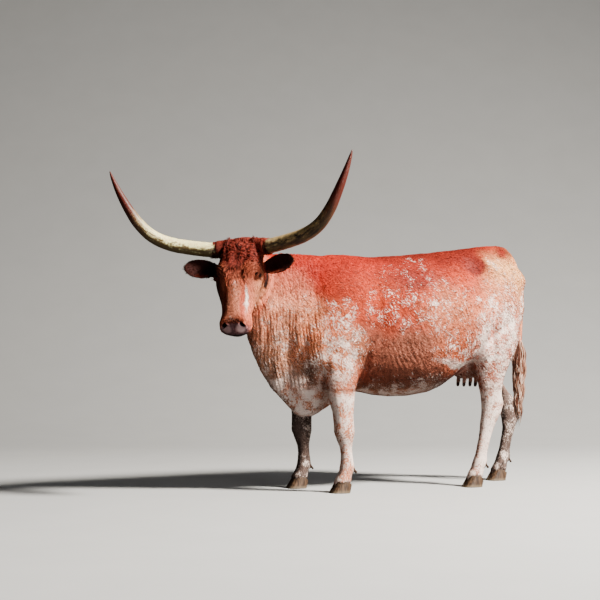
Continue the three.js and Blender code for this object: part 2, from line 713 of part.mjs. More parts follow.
// Switch: long locks rooted in rows round the end of the dock, over a short core
function tailSwitch() {
  const draw = seeded(23);
  const start = tailPath.getPointAt(switchTop);
  const coreEnd = mix(start.z, switchEnd, 0.45);
  const core = sweep(8, 6, (t, cos, sin, reach) => {
    const radius = 13 + 17 * Math.sin(Math.min(1, t * 1.3) * Math.PI * 0.6) * (1 - 0.55 * t);
    return vec(
      4 + reach * radius * 0.8 * cos,
      start.y - 8 + reach * radius * sin,
      mix(start.z, coreEnd, t),
    );
  });
  const made = [];
  const rows = 3;
  for (let row = 0; row < rows; row++) {
    const count = 5;
    for (let i = 0; i < count; i++) {
      const turn = ((i + (row % 2) / 2) / count) * 2 * Math.PI + (draw() - 0.5) * 0.3;
      const spread = 11 + row * 1.5;
      const z = mix(start.z - 40, coreEnd + 26, row / (rows - 1));
      const end = mix(switchEnd + 110, switchEnd, row / (rows - 1)) + draw() * 40;
      made.push(
        lock({
          root: vec(4 + Math.cos(turn) * spread * 0.7, start.y - 8 + Math.sin(turn) * spread, z),
          lie: vec(Math.cos(turn) * 0.34, Math.sin(turn) * 0.4, -1).normalize(),
          fall: vec(Math.cos(turn) * -0.05, Math.sin(turn) * -0.02, -1).normalize(),
          length: z - end,
          width: 26,
          thick: 12,
          around: 4,
          steps: 4,
        }),
      );
    }
  }
  return join([core, ...made]);
}

// Parting: each joined form is cut by a plane that leaves a thin gap

const foreCut = { normal: [0, 0, 1], level: 600 };
const hindCut = { normal: [0, -0.4, 1], level: 640 };
const neckCut = { normal: [0, -1, 0.18], level: 830 };

const unit = ({ normal }) => vec(...normal).normalize();
const offset = ({ normal, level: at }) => at / vec(...normal).length();

// The part of a solid on the far side of a plane, along its normal, less half the gap.
function beyond(solid, plane, gap = GAP / 2) {
  return solid.trimByPlane(unit(plane).toArray(), offset(plane) + gap);
}

function before(solid, plane, gap = GAP / 2) {
  return solid.trimByPlane(unit(plane).negate().toArray(), -offset(plane) + gap);
}

function buildFlesh() {
  const nodes = {};
  const legs = Object.entries(stance);
  const cutOf = (name) => (name.startsWith("fore") ? foreCut : hindCut);

  let body = trunk();
  for (const [name, leg] of legs) {
    body = body.add(beyond(limb(leg), cutOf(name), -1));
    body = body.subtract(before(limb(leg, GAP), cutOf(name), -GAP / 2));
  }
  body = body.add(before(neck(), neckCut, -1));
  body = body.subtract(beyond(neck(GAP), neckCut, -GAP / 2));
  const tail = dock();
  nodes.torso = largest(body.subtract(dock(GAP)));

  const horns = { left: horn(LEFT), right: horn(RIGHT) };
  const ears = { left: ear(LEFT), right: ear(RIGHT) };
  const hornsGrown = join([horn(LEFT, GAP), horn(RIGHT, GAP)]);
  const earsGrown = join([ear(LEFT, 2 * GAP), ear(RIGHT, 2 * GAP)]);
  nodes.head = largest(head().subtract(hornsGrown).subtract(earsGrown));
  nodes.neck = largest(
    beyond(neck(), neckCut).subtract(head(GAP)).subtract(earsGrown).subtract(hornsGrown),
  );
  for (const [name, side] of [["left", LEFT], ["right", RIGHT]]) {
    nodes[`horn_${name}`] = largest(horns[name]);
    nodes[`ear_${name}`] = largest(ears[name].subtract(horn(side, GAP)));
    nodes[`eye_${name}`] = moved(eyeball(side), headFrame);
  }

  for (const [name, leg] of legs) {
    const claws = [1, -1].map((outer) => claw(leg, outer));
    const grown = join([claw(leg, 1, GAP), claw(leg, -1, GAP)]);
    const whole = join([limb(leg), dewclaws(leg)]);
    nodes[`leg_${name}`] = largest(before(whole, cutOf(name)).subtract(grown));
    nodes[`claw_${name}_outer`] = claws[0];
    nodes[`claw_${name}_inner`] = claws[1];
  }

  const bodyGrown = join([trunk(GAP), ...legs.map(([, leg]) => limb(leg, GAP))]);
  nodes.udder = largest(udder().subtract(bodyGrown));
  const hair = tailSwitch();
  nodes.tail_dock = largest(tail);
  nodes.tail_switch = largest(hair.subtract(dock(GAP)));
  return nodes;
}

// Materials and the finished group

const paint = (color, roughness) => new THREE.MeshStandardMaterial({ color, roughness, metalness: 0 });
const materials = {
  hide: paint(0xb5563a, 0.75),
  roan: paint(0xc98a6c, 0.75),
  horn: paint(0xc9b48a, 0.4),
  claw: paint(0x4a3d33, 0.5),
  eye: paint(0x17100c, 0.08),
  udder: paint(0xb98a7a, 0.6),
  hair: paint(0xa8633f, 0.8),
};

function materialOf(name) {
  if (name.startsWith("horn")) return materials.horn;
  if (name.startsWith("claw")) return materials.claw;
  if (name.startsWith("eye")) return materials.eye;
  if (name.startsWith("leg")) return materials.roan;
  if (name === "udder") return materials.udder;
  if (name === "tail_switch") return materials.hair;
  return materials.hide;
}

function meshOf(name, solid) {
  const { vertProperties, triVerts, numProp } = solid.getMesh();
  const positions = new Float32Array((vertProperties.length / numProp) * 3);
  for (let i = 0; i < positions.length / 3; i++) {
    positions.set(vertProperties.subarray(i * numProp, i * numProp + 3), i * 3);
  }
  const geometry = new THREE.BufferGeometry();
  geometry.setAttribute("position", new THREE.BufferAttribute(positions, 3));
  geometry.setIndex(new THREE.BufferAttribute(new Uint32Array(triVerts), 1));
  geometry.computeVertexNormals();
  const mesh = new THREE.Mesh(geometry, materialOf(name));
  mesh.name = name;
  return mesh;
}

const cow = new THREE.Group();
for (const [name, solid] of Object.entries(buildFlesh())) cow.add(meshOf(name, solid));

// The origin is on the floor, under the middle of the cow's box.
const box = new THREE.Box3().setFromObject(cow, true);
const centre = box.getCenter(vec());
cow.position.set(-centre.x, -centre.y, -box.min.z);

export default cow;
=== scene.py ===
# %% [markdown]
# # A Texas longhorn cow as a still, life-size model
# The packed solids give the size, the stance and the place of every part. This script dresses them: one
# skin over all the flesh, a short coat in flat tufts, curls on the poll, ringed horns, wet eyes, hooves
# and the long hair of the tail.

# %% Tools and the packed solids
import math

import bmesh
import bpy
import numpy as np
from mathutils import Matrix, Quaternion, Vector


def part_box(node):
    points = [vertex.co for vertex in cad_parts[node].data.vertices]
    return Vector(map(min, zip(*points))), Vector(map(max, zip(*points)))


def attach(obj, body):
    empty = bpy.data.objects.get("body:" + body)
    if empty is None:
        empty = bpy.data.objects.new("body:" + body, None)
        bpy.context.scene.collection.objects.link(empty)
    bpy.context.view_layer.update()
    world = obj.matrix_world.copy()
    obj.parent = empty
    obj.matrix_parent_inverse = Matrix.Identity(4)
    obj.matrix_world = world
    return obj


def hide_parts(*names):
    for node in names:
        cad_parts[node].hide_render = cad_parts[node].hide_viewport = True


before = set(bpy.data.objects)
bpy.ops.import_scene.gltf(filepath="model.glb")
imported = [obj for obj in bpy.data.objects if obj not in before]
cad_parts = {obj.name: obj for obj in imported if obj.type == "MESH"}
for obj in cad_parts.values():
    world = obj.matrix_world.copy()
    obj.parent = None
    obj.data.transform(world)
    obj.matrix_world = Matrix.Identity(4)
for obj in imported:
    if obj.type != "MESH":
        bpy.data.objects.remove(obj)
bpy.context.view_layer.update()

# %% [markdown]
# ## Places on the cow
# Every place below is given from the middle of the cow, on the floor: X to her left, Y backwards, Z up.
# The packed solids stand a little to the side of that, because their origin is under the middle of their
# box. One known corner, that of her left outer fore claw, gives the step between the two.

# %% From the cow's own places to the model's
FORE_CLAW_CORNER = Vector((0.1786, -0.600, 0.0))
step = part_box("claw_fore_left_outer")[0] - FORE_CLAW_CORNER
STEP = np.array(step)


def place(x, y, z):
    return Vector((x, y, z)) + step


print("step", [round(v, 4) for v in step])

# %% [markdown]
# The head is turned to her left and hangs a little. It has its own directions: across to her left, down
# the face from poll to nose, and out of the forehead.

# %% The head's own directions
HEAD_YAW = math.radians(51)
HEAD_PITCH = math.radians(66)
HEAD_ROLL = math.radians(3)
poll = place(0.206, -1.140, 1.354)

level = Vector((math.sin(HEAD_YAW), -math.cos(HEAD_YAW), 0))
head_left = Quaternion(level, HEAD_ROLL) @ Vector((math.cos(HEAD_YAW), math.sin(HEAD_YAW), 0))
head_up = level.cross(head_left)
down_face = level * math.cos(HEAD_PITCH) - head_up * math.sin(HEAD_PITCH)
out_face = level * math.sin(HEAD_PITCH) + head_up * math.cos(HEAD_PITCH)
head_turn = Matrix((head_left, down_face, out_face))
HEAD_TURN = np.array(head_turn)


def to_head(points):
    """Points of the model, seen from the head."""
    return (points - np.array(poll)) @ HEAD_TURN.T


def from_head(x, y, z):
    return poll + head_left * x + down_face * y + out_face * z


print("nose", [round(v, 3) for v in from_head(0, 0.52, -0.08) - step])

# %% [markdown]
# ## Camera, floor and light
# The camera stands where the photo was taken from: about eight metres off, at chest height, looking a
# touch upwards with a long lens. A long lens flattens a big animal, so this has to be right before any
# shape is.

# %% Camera
CAMERA_AZIMUTH = math.radians(66)
CAMERA_PITCH = math.radians(2.023)
LENS = 88.32
SENSOR = 36.0

view = Vector((-math.sin(CAMERA_AZIMUTH), math.cos(CAMERA_AZIMUTH), math.tan(CAMERA_PITCH)))
camera = bpy.data.objects.new("camera", bpy.data.cameras.new("camera"))
camera.data.lens = LENS
camera.data.sensor_width = SENSOR
camera.location = place(7.3767, -3.9823, 0.76)
camera.rotation_euler = view.to_track_quat("-Z", "Y").to_euler()
bpy.context.scene.collection.objects.link(camera)
bpy.context.scene.camera = camera
print("camera", [round(v, 3) for v in camera.location])

# %% [markdown]
# Every finish on the model is made of shader nodes. Written out one by one they take many lines, so one
# small class holds a short word for each kind that is used here: a noise, a soft step, two colours mixed.

# %% Words for shader nodes


class Nodes:
    """The nodes of one material or group. An input may be a constant or another node's output."""

    def __init__(self, tree, shader=None):
        self.tree, self.shader = tree, shader

    def add(self, kind, inputs=(), **settings):
        made = self.tree.nodes.new("ShaderNode" + kind)
        for name, value in settings.items():
            setattr(made, name, value)
        for name, value in dict(inputs).items():
            if isinstance(value, bpy.types.NodeSocket):
                self.tree.links.new(value, made.inputs[name])
            else:
                made.inputs[name].default_value = value
        return made

    def math(self, operation, first, second=0.0, clamp=False):
        return self.add("Math", {0: first, 1: second}, operation=operation, use_clamp=clamp).outputs[0]

    def plus(self, first, second, clamp=False):
        return self.math("ADD", first, second, clamp)

    def times(self, first, second):
        return self.math("MULTIPLY", first, second)

    def vector(self, operation, *values):
        made = self.add("VectorMath", dict(enumerate(values)), operation=operation)
        return made.outputs["Value" if operation in ("LENGTH", "DOT_PRODUCT") else "Vector"]

    def join(self, x, y=0.0, z=0.0):
        return self.add("CombineXYZ", {"X": x, "Y": y, "Z": z}).outputs[0]

    def split(self, vector):
        return self.add("SeparateXYZ", {"Vector": vector}).outputs

    def ramp(self, value, low, high, start=0.0, end=1.0):
        """A soft step of a value from low to high."""
        inputs = {"Value": value, "From Min": low, "From Max": high, "To Min": start, "To Max": end}
        return self.add("MapRange", inputs, interpolation_type="SMOOTHSTEP").outputs[0]

    def mixed(self, share, first, second):
        """Two colours, mixed by a share from 0 to 1."""
        first, second = (c if isinstance(c, bpy.types.NodeSocket) else (*c, 1) for c in (first, second))
        return self.add("Mix", {0: share, 6: first, 7: second}, data_type="RGBA").outputs[2]

    def blend(self, share, first, second):
        """Two numbers, mixed by a share from 0 to 1."""
        return self.add("Mix", {0: share, 2: first, 3: second}, data_type="FLOAT").outputs[0]

    def noise(self, place, scale, detail=2.0, roughness=0.5, output="Fac"):
        inputs = {"Vector": place, "Scale": scale, "Detail": detail, "Roughness": roughness}
        return self.add("TexNoise", inputs).outputs[output]

    def net(self, place, scale):
        """The distance to the lines of an irregular net."""
        made = self.add("TexVoronoi", {"Vector": place, "Scale": scale}, feature="DISTANCE_TO_EDGE")
        return made.outputs["Distance"]

    def attribute(self, name, output="Fac"):
        return self.add("Attribute", attribute_name=name, attribute_type="GEOMETRY").outputs[output]

    def object_place(self):
        return self.add("TexCoord").outputs["Object"]

    def feed(self, **inputs):
        """Links outputs to sockets of the material's shader."""
        for name, value in inputs.items():
            self.tree.links.new(value, self.shader.inputs[name.replace("_", " ")])

    def bump(self, height, strength, distance):
        inputs = {"Height": height, "Strength": strength, "Distance": distance}
        self.feed(Normal=self.add("Bump", inputs).outputs["Normal"])


def new_material(name, **settings):
    """A material with one Principled shader whose sockets take these settings, and its nodes."""
    material = bpy.data.materials.new(name)
    material.use_nodes = True
    shader = material.node_tree.nodes["Principled BSDF"]
    for socket, value in settings.items():
        shader.inputs[socket.replace("_", " ")].default_value = value
    return material, Nodes(material.node_tree, shader)


print("words for shader nodes", len([name for name in vars(Nodes) if name[0] != "_"]))

# %% [markdown]
# The floor is a pale sheet that curves up far behind the cow, as in a studio. It is one grid whose far
# edge is lifted, so no line shows between floor and wall. It throws back less light than it shows to the
# camera, so that the belly stays in shade, as it does over a dull floor.

# %% Floor
FLOOR_HALF = 14.0
BACKDROP_START = 4.0
BACKDROP_RISE = 9.0

floor_mesh = bpy.data.meshes.new("floor")
sheet = bmesh.new()
bmesh.ops.create_grid(sheet, x_segments=90, y_segments=90, size=FLOOR_HALF)
bmesh.ops.rotate(sheet, verts=sheet.verts, matrix=Matrix.Rotation(CAMERA_AZIMUTH, 3, "Z"))
away = Vector((view.x, view.y, 0)).normalized()
for vertex in sheet.verts:
    behind = vertex.co.dot(away) - BACKDROP_START
    if behind > 0:
        vertex.co.z += BACKDROP_RISE * (behind / (FLOOR_HALF - BACKDROP_START)) ** 2
sheet.to_mesh(floor_mesh)
sheet.free()
floor_mesh.shade_smooth()
floor = bpy.data.objects.new("floor", floor_mesh)
bpy.context.scene.collection.objects.link(floor)
floor_paint, nodes = new_material("floor", Roughness=0.85)
pale = nodes.mixed(nodes.noise(nodes.object_place(), 3.0), (0.46, 0.46, 0.455), (0.50, 0.50, 0.495))
seen_by_camera = nodes.add("LightPath").outputs["Is Camera Ray"]
nodes.feed(Base_Color=nodes.mixed(seen_by_camera, (0.05, 0.05, 0.05), pale))
floor.data.materials.append(floor_paint)
print("floor faces", len(floor_mesh.polygons))

# %% [markdown]
# A strong lamp stands to the right of the camera and high, where the photo's light comes from: it leaves
# her right cheek in shade and models the flank. A large weak lamp fills from nearer the camera, another
# lights the outline of her back, and a dim even light from all round keeps the shadows from going black.
# Only the strong lamp may glint, or there would be three small squares in each eye.

# %% Lamps
# name, degrees from the camera's side, degrees up, distance, size, power, colour
LAMPS = (
    ("key", 66, 41, 8.0, 1.3, 3500, (1.0, 0.95, 0.87)),
    ("fill", 35, 6, 8.0, 3.0, 210, (0.95, 0.97, 1.0)),
    ("rim", 170, 45, 7.5, 3.0, 45, (1.0, 0.97, 0.92)),
)
CHEST_HEIGHT = Vector((0, 0, 0.9))

for name, azimuth, elevation, distance, size, power, colour in LAMPS:
    lamp = bpy.data.objects.new(name, bpy.data.lights.new(name, "AREA"))
    lamp.data.size, lamp.data.energy, lamp.data.color = size, power, colour
    lamp.visible_glossy = name == "key"
    turn, lift = CAMERA_AZIMUTH + math.radians(azimuth), math.radians(elevation)
    toward = Vector((math.sin(turn) * math.cos(lift), -math.cos(turn) * math.cos(lift), math.sin(lift)))
    lamp.location = toward * distance + CHEST_HEIGHT
    lamp.rotation_euler = toward.to_track_quat("Z", "Y").to_euler()
    bpy.context.scene.collection.objects.link(lamp)

surroundings = bpy.data.worlds.new("studio")
bpy.context.scene.world = surroundings
surroundings.use_nodes = True
even_light = surroundings.node_tree.nodes["Background"].inputs
even_light["Color"].default_value = (0.90, 0.93, 1.0, 1)
even_light["Strength"].default_value = 0.022
print("lamps", len(LAMPS))

# %% [markdown]
# ## The skin
# On the animal the hide runs from nose to tail without a seam. The solids of the flesh are separate
# closed bodies with thin gaps between them. Copies of them are swollen by a hair's breadth so that they
# touch, and a voxel remesh turns them into one closed surface, fine enough to be worked like clay.

# %% One surface over the flesh
FLESH = ["torso", "neck", "head", "ear_left", "ear_right", "udder", "tail_dock"]
FLESH += [f"leg_{end}_{side}" for end in ("fore", "hind") for side in ("left", "right")]
CLOSE_GAPS = 0.0006
VOXEL = 0.004


def bare_mesh(name, made):
    """An object that holds a finished bmesh."""
    mesh = bpy.data.meshes.new(name)
    made.to_mesh(mesh)
    made.free()
    piece = bpy.data.objects.new(name, mesh)
    bpy.context.scene.collection.objects.link(piece)
    return piece


def apply_modifiers(piece):
    """Keeps what the piece's modifiers make as its mesh."""
    graph = bpy.context.evaluated_depsgraph_get()
    made = bpy.data.meshes.new_from_object(piece.evaluated_get(graph))
    piece.modifiers.clear()
    piece.data = made


def merged_copy(names, grow=0.0):
    """One bmesh of some solids, with their loose triangles joined up."""
    made = bmesh.new()
    for name in names:
        made.from_mesh(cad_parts[name].data)
    bmesh.ops.remove_doubles(made, verts=made.verts, dist=1e-5)
    made.normal_update()
    for vertex in made.verts:
        vertex.co += vertex.normal * grow
    return made


def remesh(piece, voxel):
    modifier = piece.modifiers.new("remesh", "REMESH")
    modifier.mode = "VOXEL"
    modifier.voxel_size = voxel
    apply_modifiers(piece)


skin = bare_mesh("skin", merged_copy([*FLESH, "eye_left", "eye_right"], CLOSE_GAPS))
remesh(skin, VOXEL)
print("skin faces", len(skin.data.polygons))

# %% [markdown]
# The solids are faceted. Smoothing rounds the facets off, and each region takes as much of it as its
# facets are wide: the barrel and the neck most, the legs less, the face and the ears least. A vertex
# group carries the share. The curls of the poll are smoothed away here, because finer ones replace them.

# %% Smooth each region by its own measure


def read(items, name, width, kind=np.float32):
    """One property of many mesh items, as rows of numbers."""
    values = np.empty(len(items) * width, kind)
    items.foreach_get(name, values)
    return values.reshape(-1, width)


def positions(mesh):
    return read(mesh.vertices, "co", 3).astype(float)


def normals(mesh):
    return read(mesh.vertex_normals, "vector", 3).astype(float)


def set_positions(mesh, points):
    mesh.vertices.foreach_set("co", points.astype(np.float32).ravel())
    mesh.update()


def soft(value, low, high):
    """A smooth step from 0 at low to 1 at high. High may be less than low."""
    t = np.clip((value - low) / (high - low), 0, 1)
    return t * t * (3 - 2 * t)


def smooth(piece, share, rounds, factor=0.5):
    """Smooths a piece where the share is high."""
    group = piece.vertex_groups.new(name="share")
    level_of = np.round(np.clip(share, 0, 1) * 10).astype(int)
    for value in range(1, 11):
        group.add(np.nonzero(level_of == value)[0].tolist(), value / 10, "REPLACE")
    modifier = piece.modifiers.new("smooth", "SMOOTH")
    modifier.factor = factor
    modifier.iterations = rounds
    modifier.vertex_group = "share"
    apply_modifiers(piece)
    piece.vertex_groups.clear()


def regions(points):
    """How far each point belongs to the head, an ear, a leg, the tail, the udder or the trunk."""
    cow = points - STEP
    local = to_head(points)
    x, y, z = np.abs(local[:, 0]), local[:, 1], local[:, 2]
    head = soft(y, -0.09, -0.03) * soft(y, 0.62, 0.55) * soft(z, -0.27, -0.22) * soft(x, 0.20, 0.15)
    ear = soft(x, 0.112, 0.135) * soft(x, 0.45, 0.40) * soft(y, 0.03, 0.06) * soft(y, 0.26, 0.22)
    ear *= soft(z, -0.22, -0.19) * (cow[:, 1] < -0.85)
    leg = soft(cow[:, 2], 0.62, 0.50)
    tail = soft(np.abs(cow[:, 0]), 0.05, 0.038) * soft(cow[:, 1], 0.655, 0.675) * (cow[:, 2] > 0.6)
    away = ((cow - np.array((0, 0.36, 0.62))) / np.array((0.13, 0.15, 0.10))) ** 2
    udder = soft(np.sqrt(away.sum(1)), 1.15, 0.9)
    head = np.maximum(head, ear)
    trunk = (1 - head) * (1 - leg) * (1 - tail) * (1 - udder)
    return {"head": head, "ear": ear, "leg": leg, "tail": tail, "udder": udder, "trunk": trunk}


part = regions(positions(skin.data))
smooth(skin, np.ones(len(part["head"])), 4)
smooth(skin, part["trunk"], 150)
smooth(skin, part["leg"], 26)
smooth(skin, part["head"] * (1 - part["ear"]), 14)
smooth(skin, part["tail"] + part["udder"], 8)
local = to_head(positions(skin.data))
under_curls = soft(local[:, 1], 0.19, 0.14) * soft(local[:, 2], -0.08, -0.03) * (np.abs(local[:, 0]) < 0.14)
smooth(skin, under_curls * part["head"], 60)
print("smoothed", len(skin.data.vertices), "points")

# %% [markdown]
# Eyes, nostrils and mouth need finer faces than the rest. The edges near them are split in two, and near
# the eyes once more, before any of their shape is worked.

# %% Finer faces where the face needs them
EYE_RADIUS = 0.020
NOSTRIL_LOOK = Vector((0.42, 0.78, 0.46)).normalized()


def eye_centre(side):
    return from_head(side * 0.106, 0.212, -0.022)


def nostril_centre(side):
    return from_head(side * 0.047, 0.486, -0.028)


def split_near(made, near, times):
    """Splits the edges whose two ends are near a place."""
    for _ in range(times):
        inside = {vertex.index for vertex in made.verts if near(vertex.co)}
        edges = [e for e in made.edges if e.verts[0].index in inside and e.verts[1].index in inside]
        bmesh.ops.subdivide_edges(made, edges=edges, cuts=1, use_grid_fill=True)
        made.verts.index_update()


def near_lips(point):
    seen = head_turn @ (point - poll)
    return seen.y > 0.37 and -0.115 < seen.z < -0.050


work = bmesh.new()
work.from_mesh(skin.data)
work.verts.index_update()
for side in (1, -1):
    eye, nostril = eye_centre(side), nostril_centre(side)
    split_near(work, lambda point: (point - eye).length < 0.046, 1)
    split_near(work, lambda point: (point - eye).length < 0.034, 1)
    split_near(work, lambda point: (point - nostril).length < 0.034, 1)
split_near(work, near_lips, 1)
bmesh.ops.triangulate(work, faces=[face for face in work.faces if len(face.verts) > 4])
work.to_mesh(skin.data)
work.free()
print("refined", len(skin.data.vertices), "points")

# %% [markdown]
# The skin carries its coat on the outside, so it lies inside the solids by the depth of that coat: a few
# millimetres on the trunk, hardly any on the face and the feet, and more under the curls of the poll.

# %% Room for the coat
points, out = positions(skin.data), normals(skin.data)
part = regions(points)
local = to_head(points)
under_curls = soft(local[:, 1], 0.17, 0.12) * soft(local[:, 2], -0.08, -0.03)
under_curls = under_curls * (np.abs(local[:, 0]) < 0.13) * part["head"]
depth = 0.0028 * part["trunk"] + 0.0010 * part["leg"] + 0.0010 * part["head"] + 0.0012 * part["tail"]
depth += 0.0004 * part["udder"] + 0.010 * under_curls
points -= out * depth[:, None]
print("skin lies in by up to", round(float(depth.max()) * 1000, 1), "mm")

# %% [markdown]
# Under the skin lie bones and muscles that the plain solids only hint at. Each is a soft egg-shaped push
# along the skin, in or out, and a table lists them all. The ribs are a faint slanting wave, slack skin adds
# crinkles to the barrel, a slow noise keeps the rest from being even, and a groove parts jaw from neck.

# %% The soft forms of the trunk


def ripple(cow, scale, seed):
    """Smooth noise over the body, from -1 to 1, read on a coarse grid to keep it quick."""
    low = cow.min(0)
    count = np.ceil((cow.max(0) - low) / scale).astype(int) + 2
    values = np.random.default_rng(seed).uniform(-1, 1, count)
    place_in = (cow - low) / scale
    base = np.floor(place_in).astype(int)
    rest = place_in - base
    rest = rest * rest * (3 - 2 * rest)
    total = 0
    for corner in range(8):
        step_in = np.array([corner >> 2 & 1, corner >> 1 & 1, corner & 1])
        weight = np.prod(np.where(step_in, rest, 1 - rest), axis=1)
        total = total + weight * values[tuple((base + step_in).T)]
    return total


# name, centre, reach, push along the skin in millimetres; each stands on both sides of her
SOFT_FORMS = (
    ("crease of the stifle", (0.24, 0.385, 0.85), (0.12, 0.020, 0.12), -14),
    ("fold before the stifle", (0.22, 0.34, 0.80), (0.12, 0.026, 0.12), 8),
    ("crease behind the elbow", (0.20, -0.395, 0.70), (0.12, 0.016, 0.12), -16),
    ("line behind the shoulder", (0.25, -0.33, 0.98), (0.15, 0.026, 0.20), -6),
    ("shoulder muscle", (0.25, -0.44, 0.95), (0.15, 0.06, 0.22), 5),
    ("point of the shoulder", (0.24, -0.66, 0.84), (0.12, 0.055, 0.08), 9),
    ("hollow before the shoulder", (0.20, -0.735, 0.86), (0.12, 0.020, 0.16), -8),
    ("arm muscle", (0.22, -0.51, 0.71), (0.12, 0.05, 0.07), 8),
    ("line above the elbow", (0.22, -0.48, 0.80), (0.12, 0.09, 0.030), -3),
    ("front of the arm", (0.18, -0.625, 0.66), (0.12, 0.018, 0.12), -9),
    ("hollow of the flank", (0.22, 0.28, 1.21), (0.14, 0.06, 0.06), -8),
    ("hook bone", (0.22, 0.40, 1.25), (0.12, 0.04, 0.035), 9),
    ("pin bone", (0.14, 0.66, 1.17), (0.10, 0.04, 0.04), 8),
    ("line down the thigh", (0.24, 0.60, 0.96), (0.15, 0.018, 0.16), -6),
    ("muscle of the thigh", (0.24, 0.52, 0.95), (0.15, 0.07, 0.14), 4),
    ("hollow above the hock", (0.20, 0.50, 0.56), (0.10, 0.02, 0.08), -6),
    ("bulge of the brisket", (0.10, -0.68, 0.525), (0.11, 0.09, 0.048), 14),
    ("crease under the brisket", (0.08, -0.60, 0.44), (0.12, 0.09, 0.014), -9),
    ("crease before the arm", (0.14, -0.60, 0.56), (0.10, 0.018, 0.10), -12),
    ("hollow over the brisket", (0.13, -0.68, 0.640), (0.12, 0.07, 0.034), -14),
    ("jugular groove", (0.12, -0.80, 0.72), (0.10, 0.024, 0.16), -12),
    ("cord of the dewlap", (0.05, -0.86, 0.66), (0.10, 0.022, 0.18), 8),
    ("hollow behind the jaw", (0.10, -0.935, 0.88), (0.12, 0.022, 0.08), -12),
)


def wave(value, length):
    """A wave from -1 to 1 that comes round again after that length."""
    return np.sin(value / length * 2 * np.pi)


def trunk_relief(cow, part):
    """How far the skin moves outwards, in metres."""
    mirrored = cow * np.where(cow[:, :1] < 0, -1, 1) ** np.array((1, 0, 0))
    total = np.zeros(len(cow))
    for _, centre, reach, push in SOFT_FORMS:
        away = (((mirrored - np.array(centre)) / np.array(reach)) ** 2).sum(1)
        total += push / 1000 * np.exp(-away)
    y, z = cow[:, 1], cow[:, 2]
    ribs = soft(y, -0.34, -0.18) * soft(y, 0.26, 0.12)
    ribs *= soft(z, 0.72, 0.86) * soft(z, 1.20, 1.06)
    lean = y + 0.50 * (z - 0.9)
    total += 0.0007 * ribs * wave(lean, 0.058)
    barrel = soft(y, -0.42, -0.30) * soft(y, 0.40, 0.25) * soft(z, 1.22, 1.05)
    patches = soft(ripple(cow * np.array((1, 1, 0.5)), 0.09, 6), -0.2, 0.6)
    total += 0.0011 * barrel * wave(lean + 0.020 * ripple(cow, 0.12, 5), 0.030) * patches
    total += 0.0022 * ripple(cow, 0.10, 3) + 0.0012 * ripple(cow, 0.045, 4)
    return total * np.clip(part["trunk"] + part["leg"] * 0.4, 0, 1)


points += out * trunk_relief(points - STEP, part)[:, None]
behind_jaw = 4 * part["head"] * (1 - part["head"]) * soft(np.abs(local[:, 0]), 0.05, 0.09)
behind_jaw = behind_jaw * soft(local[:, 1], -0.02, 0.06) * soft(local[:, 1], 0.34, 0.26)
points -= out * (0.011 * behind_jaw)[:, None]
set_positions(skin.data, points)
print("forms", len(SOFT_FORMS))

# %% [markdown]
# Where she turns her head, the skin of the neck gathers in many upright folds. They run nearly parallel,
# fork here and there, and are sharp in the valley and round on top. They are waves across the neck, along
# the way in which it is bent, with their spacing warped by noise.

# %% Folds of the neck
FOLD_STEP = 0.0185
FOLD_DEPTH = 0.0070
ACROSS_NECK = np.array((0.4067, 0.9135, 0.10))
STRETCH_UP = np.array((1, 1, 0.5))


def neck_folds(cow):
    """Sharp valleys with round ridges between them, as a move outwards in metres."""
    warp = 0.020 * ripple(cow * np.array((1, 1, 0.45)), 0.11, 11) + 0.007 * ripple(cow, 0.05, 12)
    phase = (cow @ ACROSS_NECK + warp) / FOLD_STEP
    valley = 1 - np.abs(np.sin(np.pi * phase))
    uneven = 0.62 + 0.38 * ripple(cow * STRETCH_UP, 0.07, 13)
    second = 1 - np.abs(np.sin(np.pi * (phase * 0.5 + 0.3 + 0.4 * ripple(cow, 0.09, 14))))
    return -FOLD_DEPTH * (valley ** 2.0 * uneven + 0.6 * second ** 3)


points, out = positions(skin.data), normals(skin.data)
cow = points - STEP
x, y, z = cow.T
neck = soft(y, -0.60, -0.68) * soft(z, 0.50, 0.62) * (1 - part["head"])
neck *= soft(z, 1.38, 1.26) * (0.35 + 0.65 * soft(x, -0.02, 0.06))
near_shoulder = soft(y, -0.56, -0.66) * (1 - soft(y, -0.70, -0.80))
points += out * (neck * (1 - 0.35 * near_shoulder) * neck_folds(cow))[:, None]
set_positions(skin.data, points)
print("folded neck points", int((neck > 0.5).sum()))

# %% [markdown]
# An eye sits deep, behind thick lids with a wet rim. Round the middle of the eyeball every point of the
# face lies in one direction, so the lids can be drawn by distance alone: inside the almond the skin dives
# behind the ball, at its edge stands the rim, and outside it folds run round it and fade into the face.

# %% Lids, sockets and the folds round the eyes
ALMOND_LONG = math.radians(38)
ALMOND_UPPER = math.radians(19)
ALMOND_LOWER = math.radians(17)


def eye_axes(side):
    """Look, long axis towards the nose, and upper side of an eye, in the head's directions."""
    look = Vector((side * 0.96, 0.1, 0.25)).normalized()
    long = Vector((0, 0.87, 0.36))
    long = (long - look * long.dot(look)).normalized()
    upper = look.cross(long)
    if upper.dot(Vector((0, -0.5, 0.8))) < 0:
        upper.negate()
    return np.array((look, long, upper))


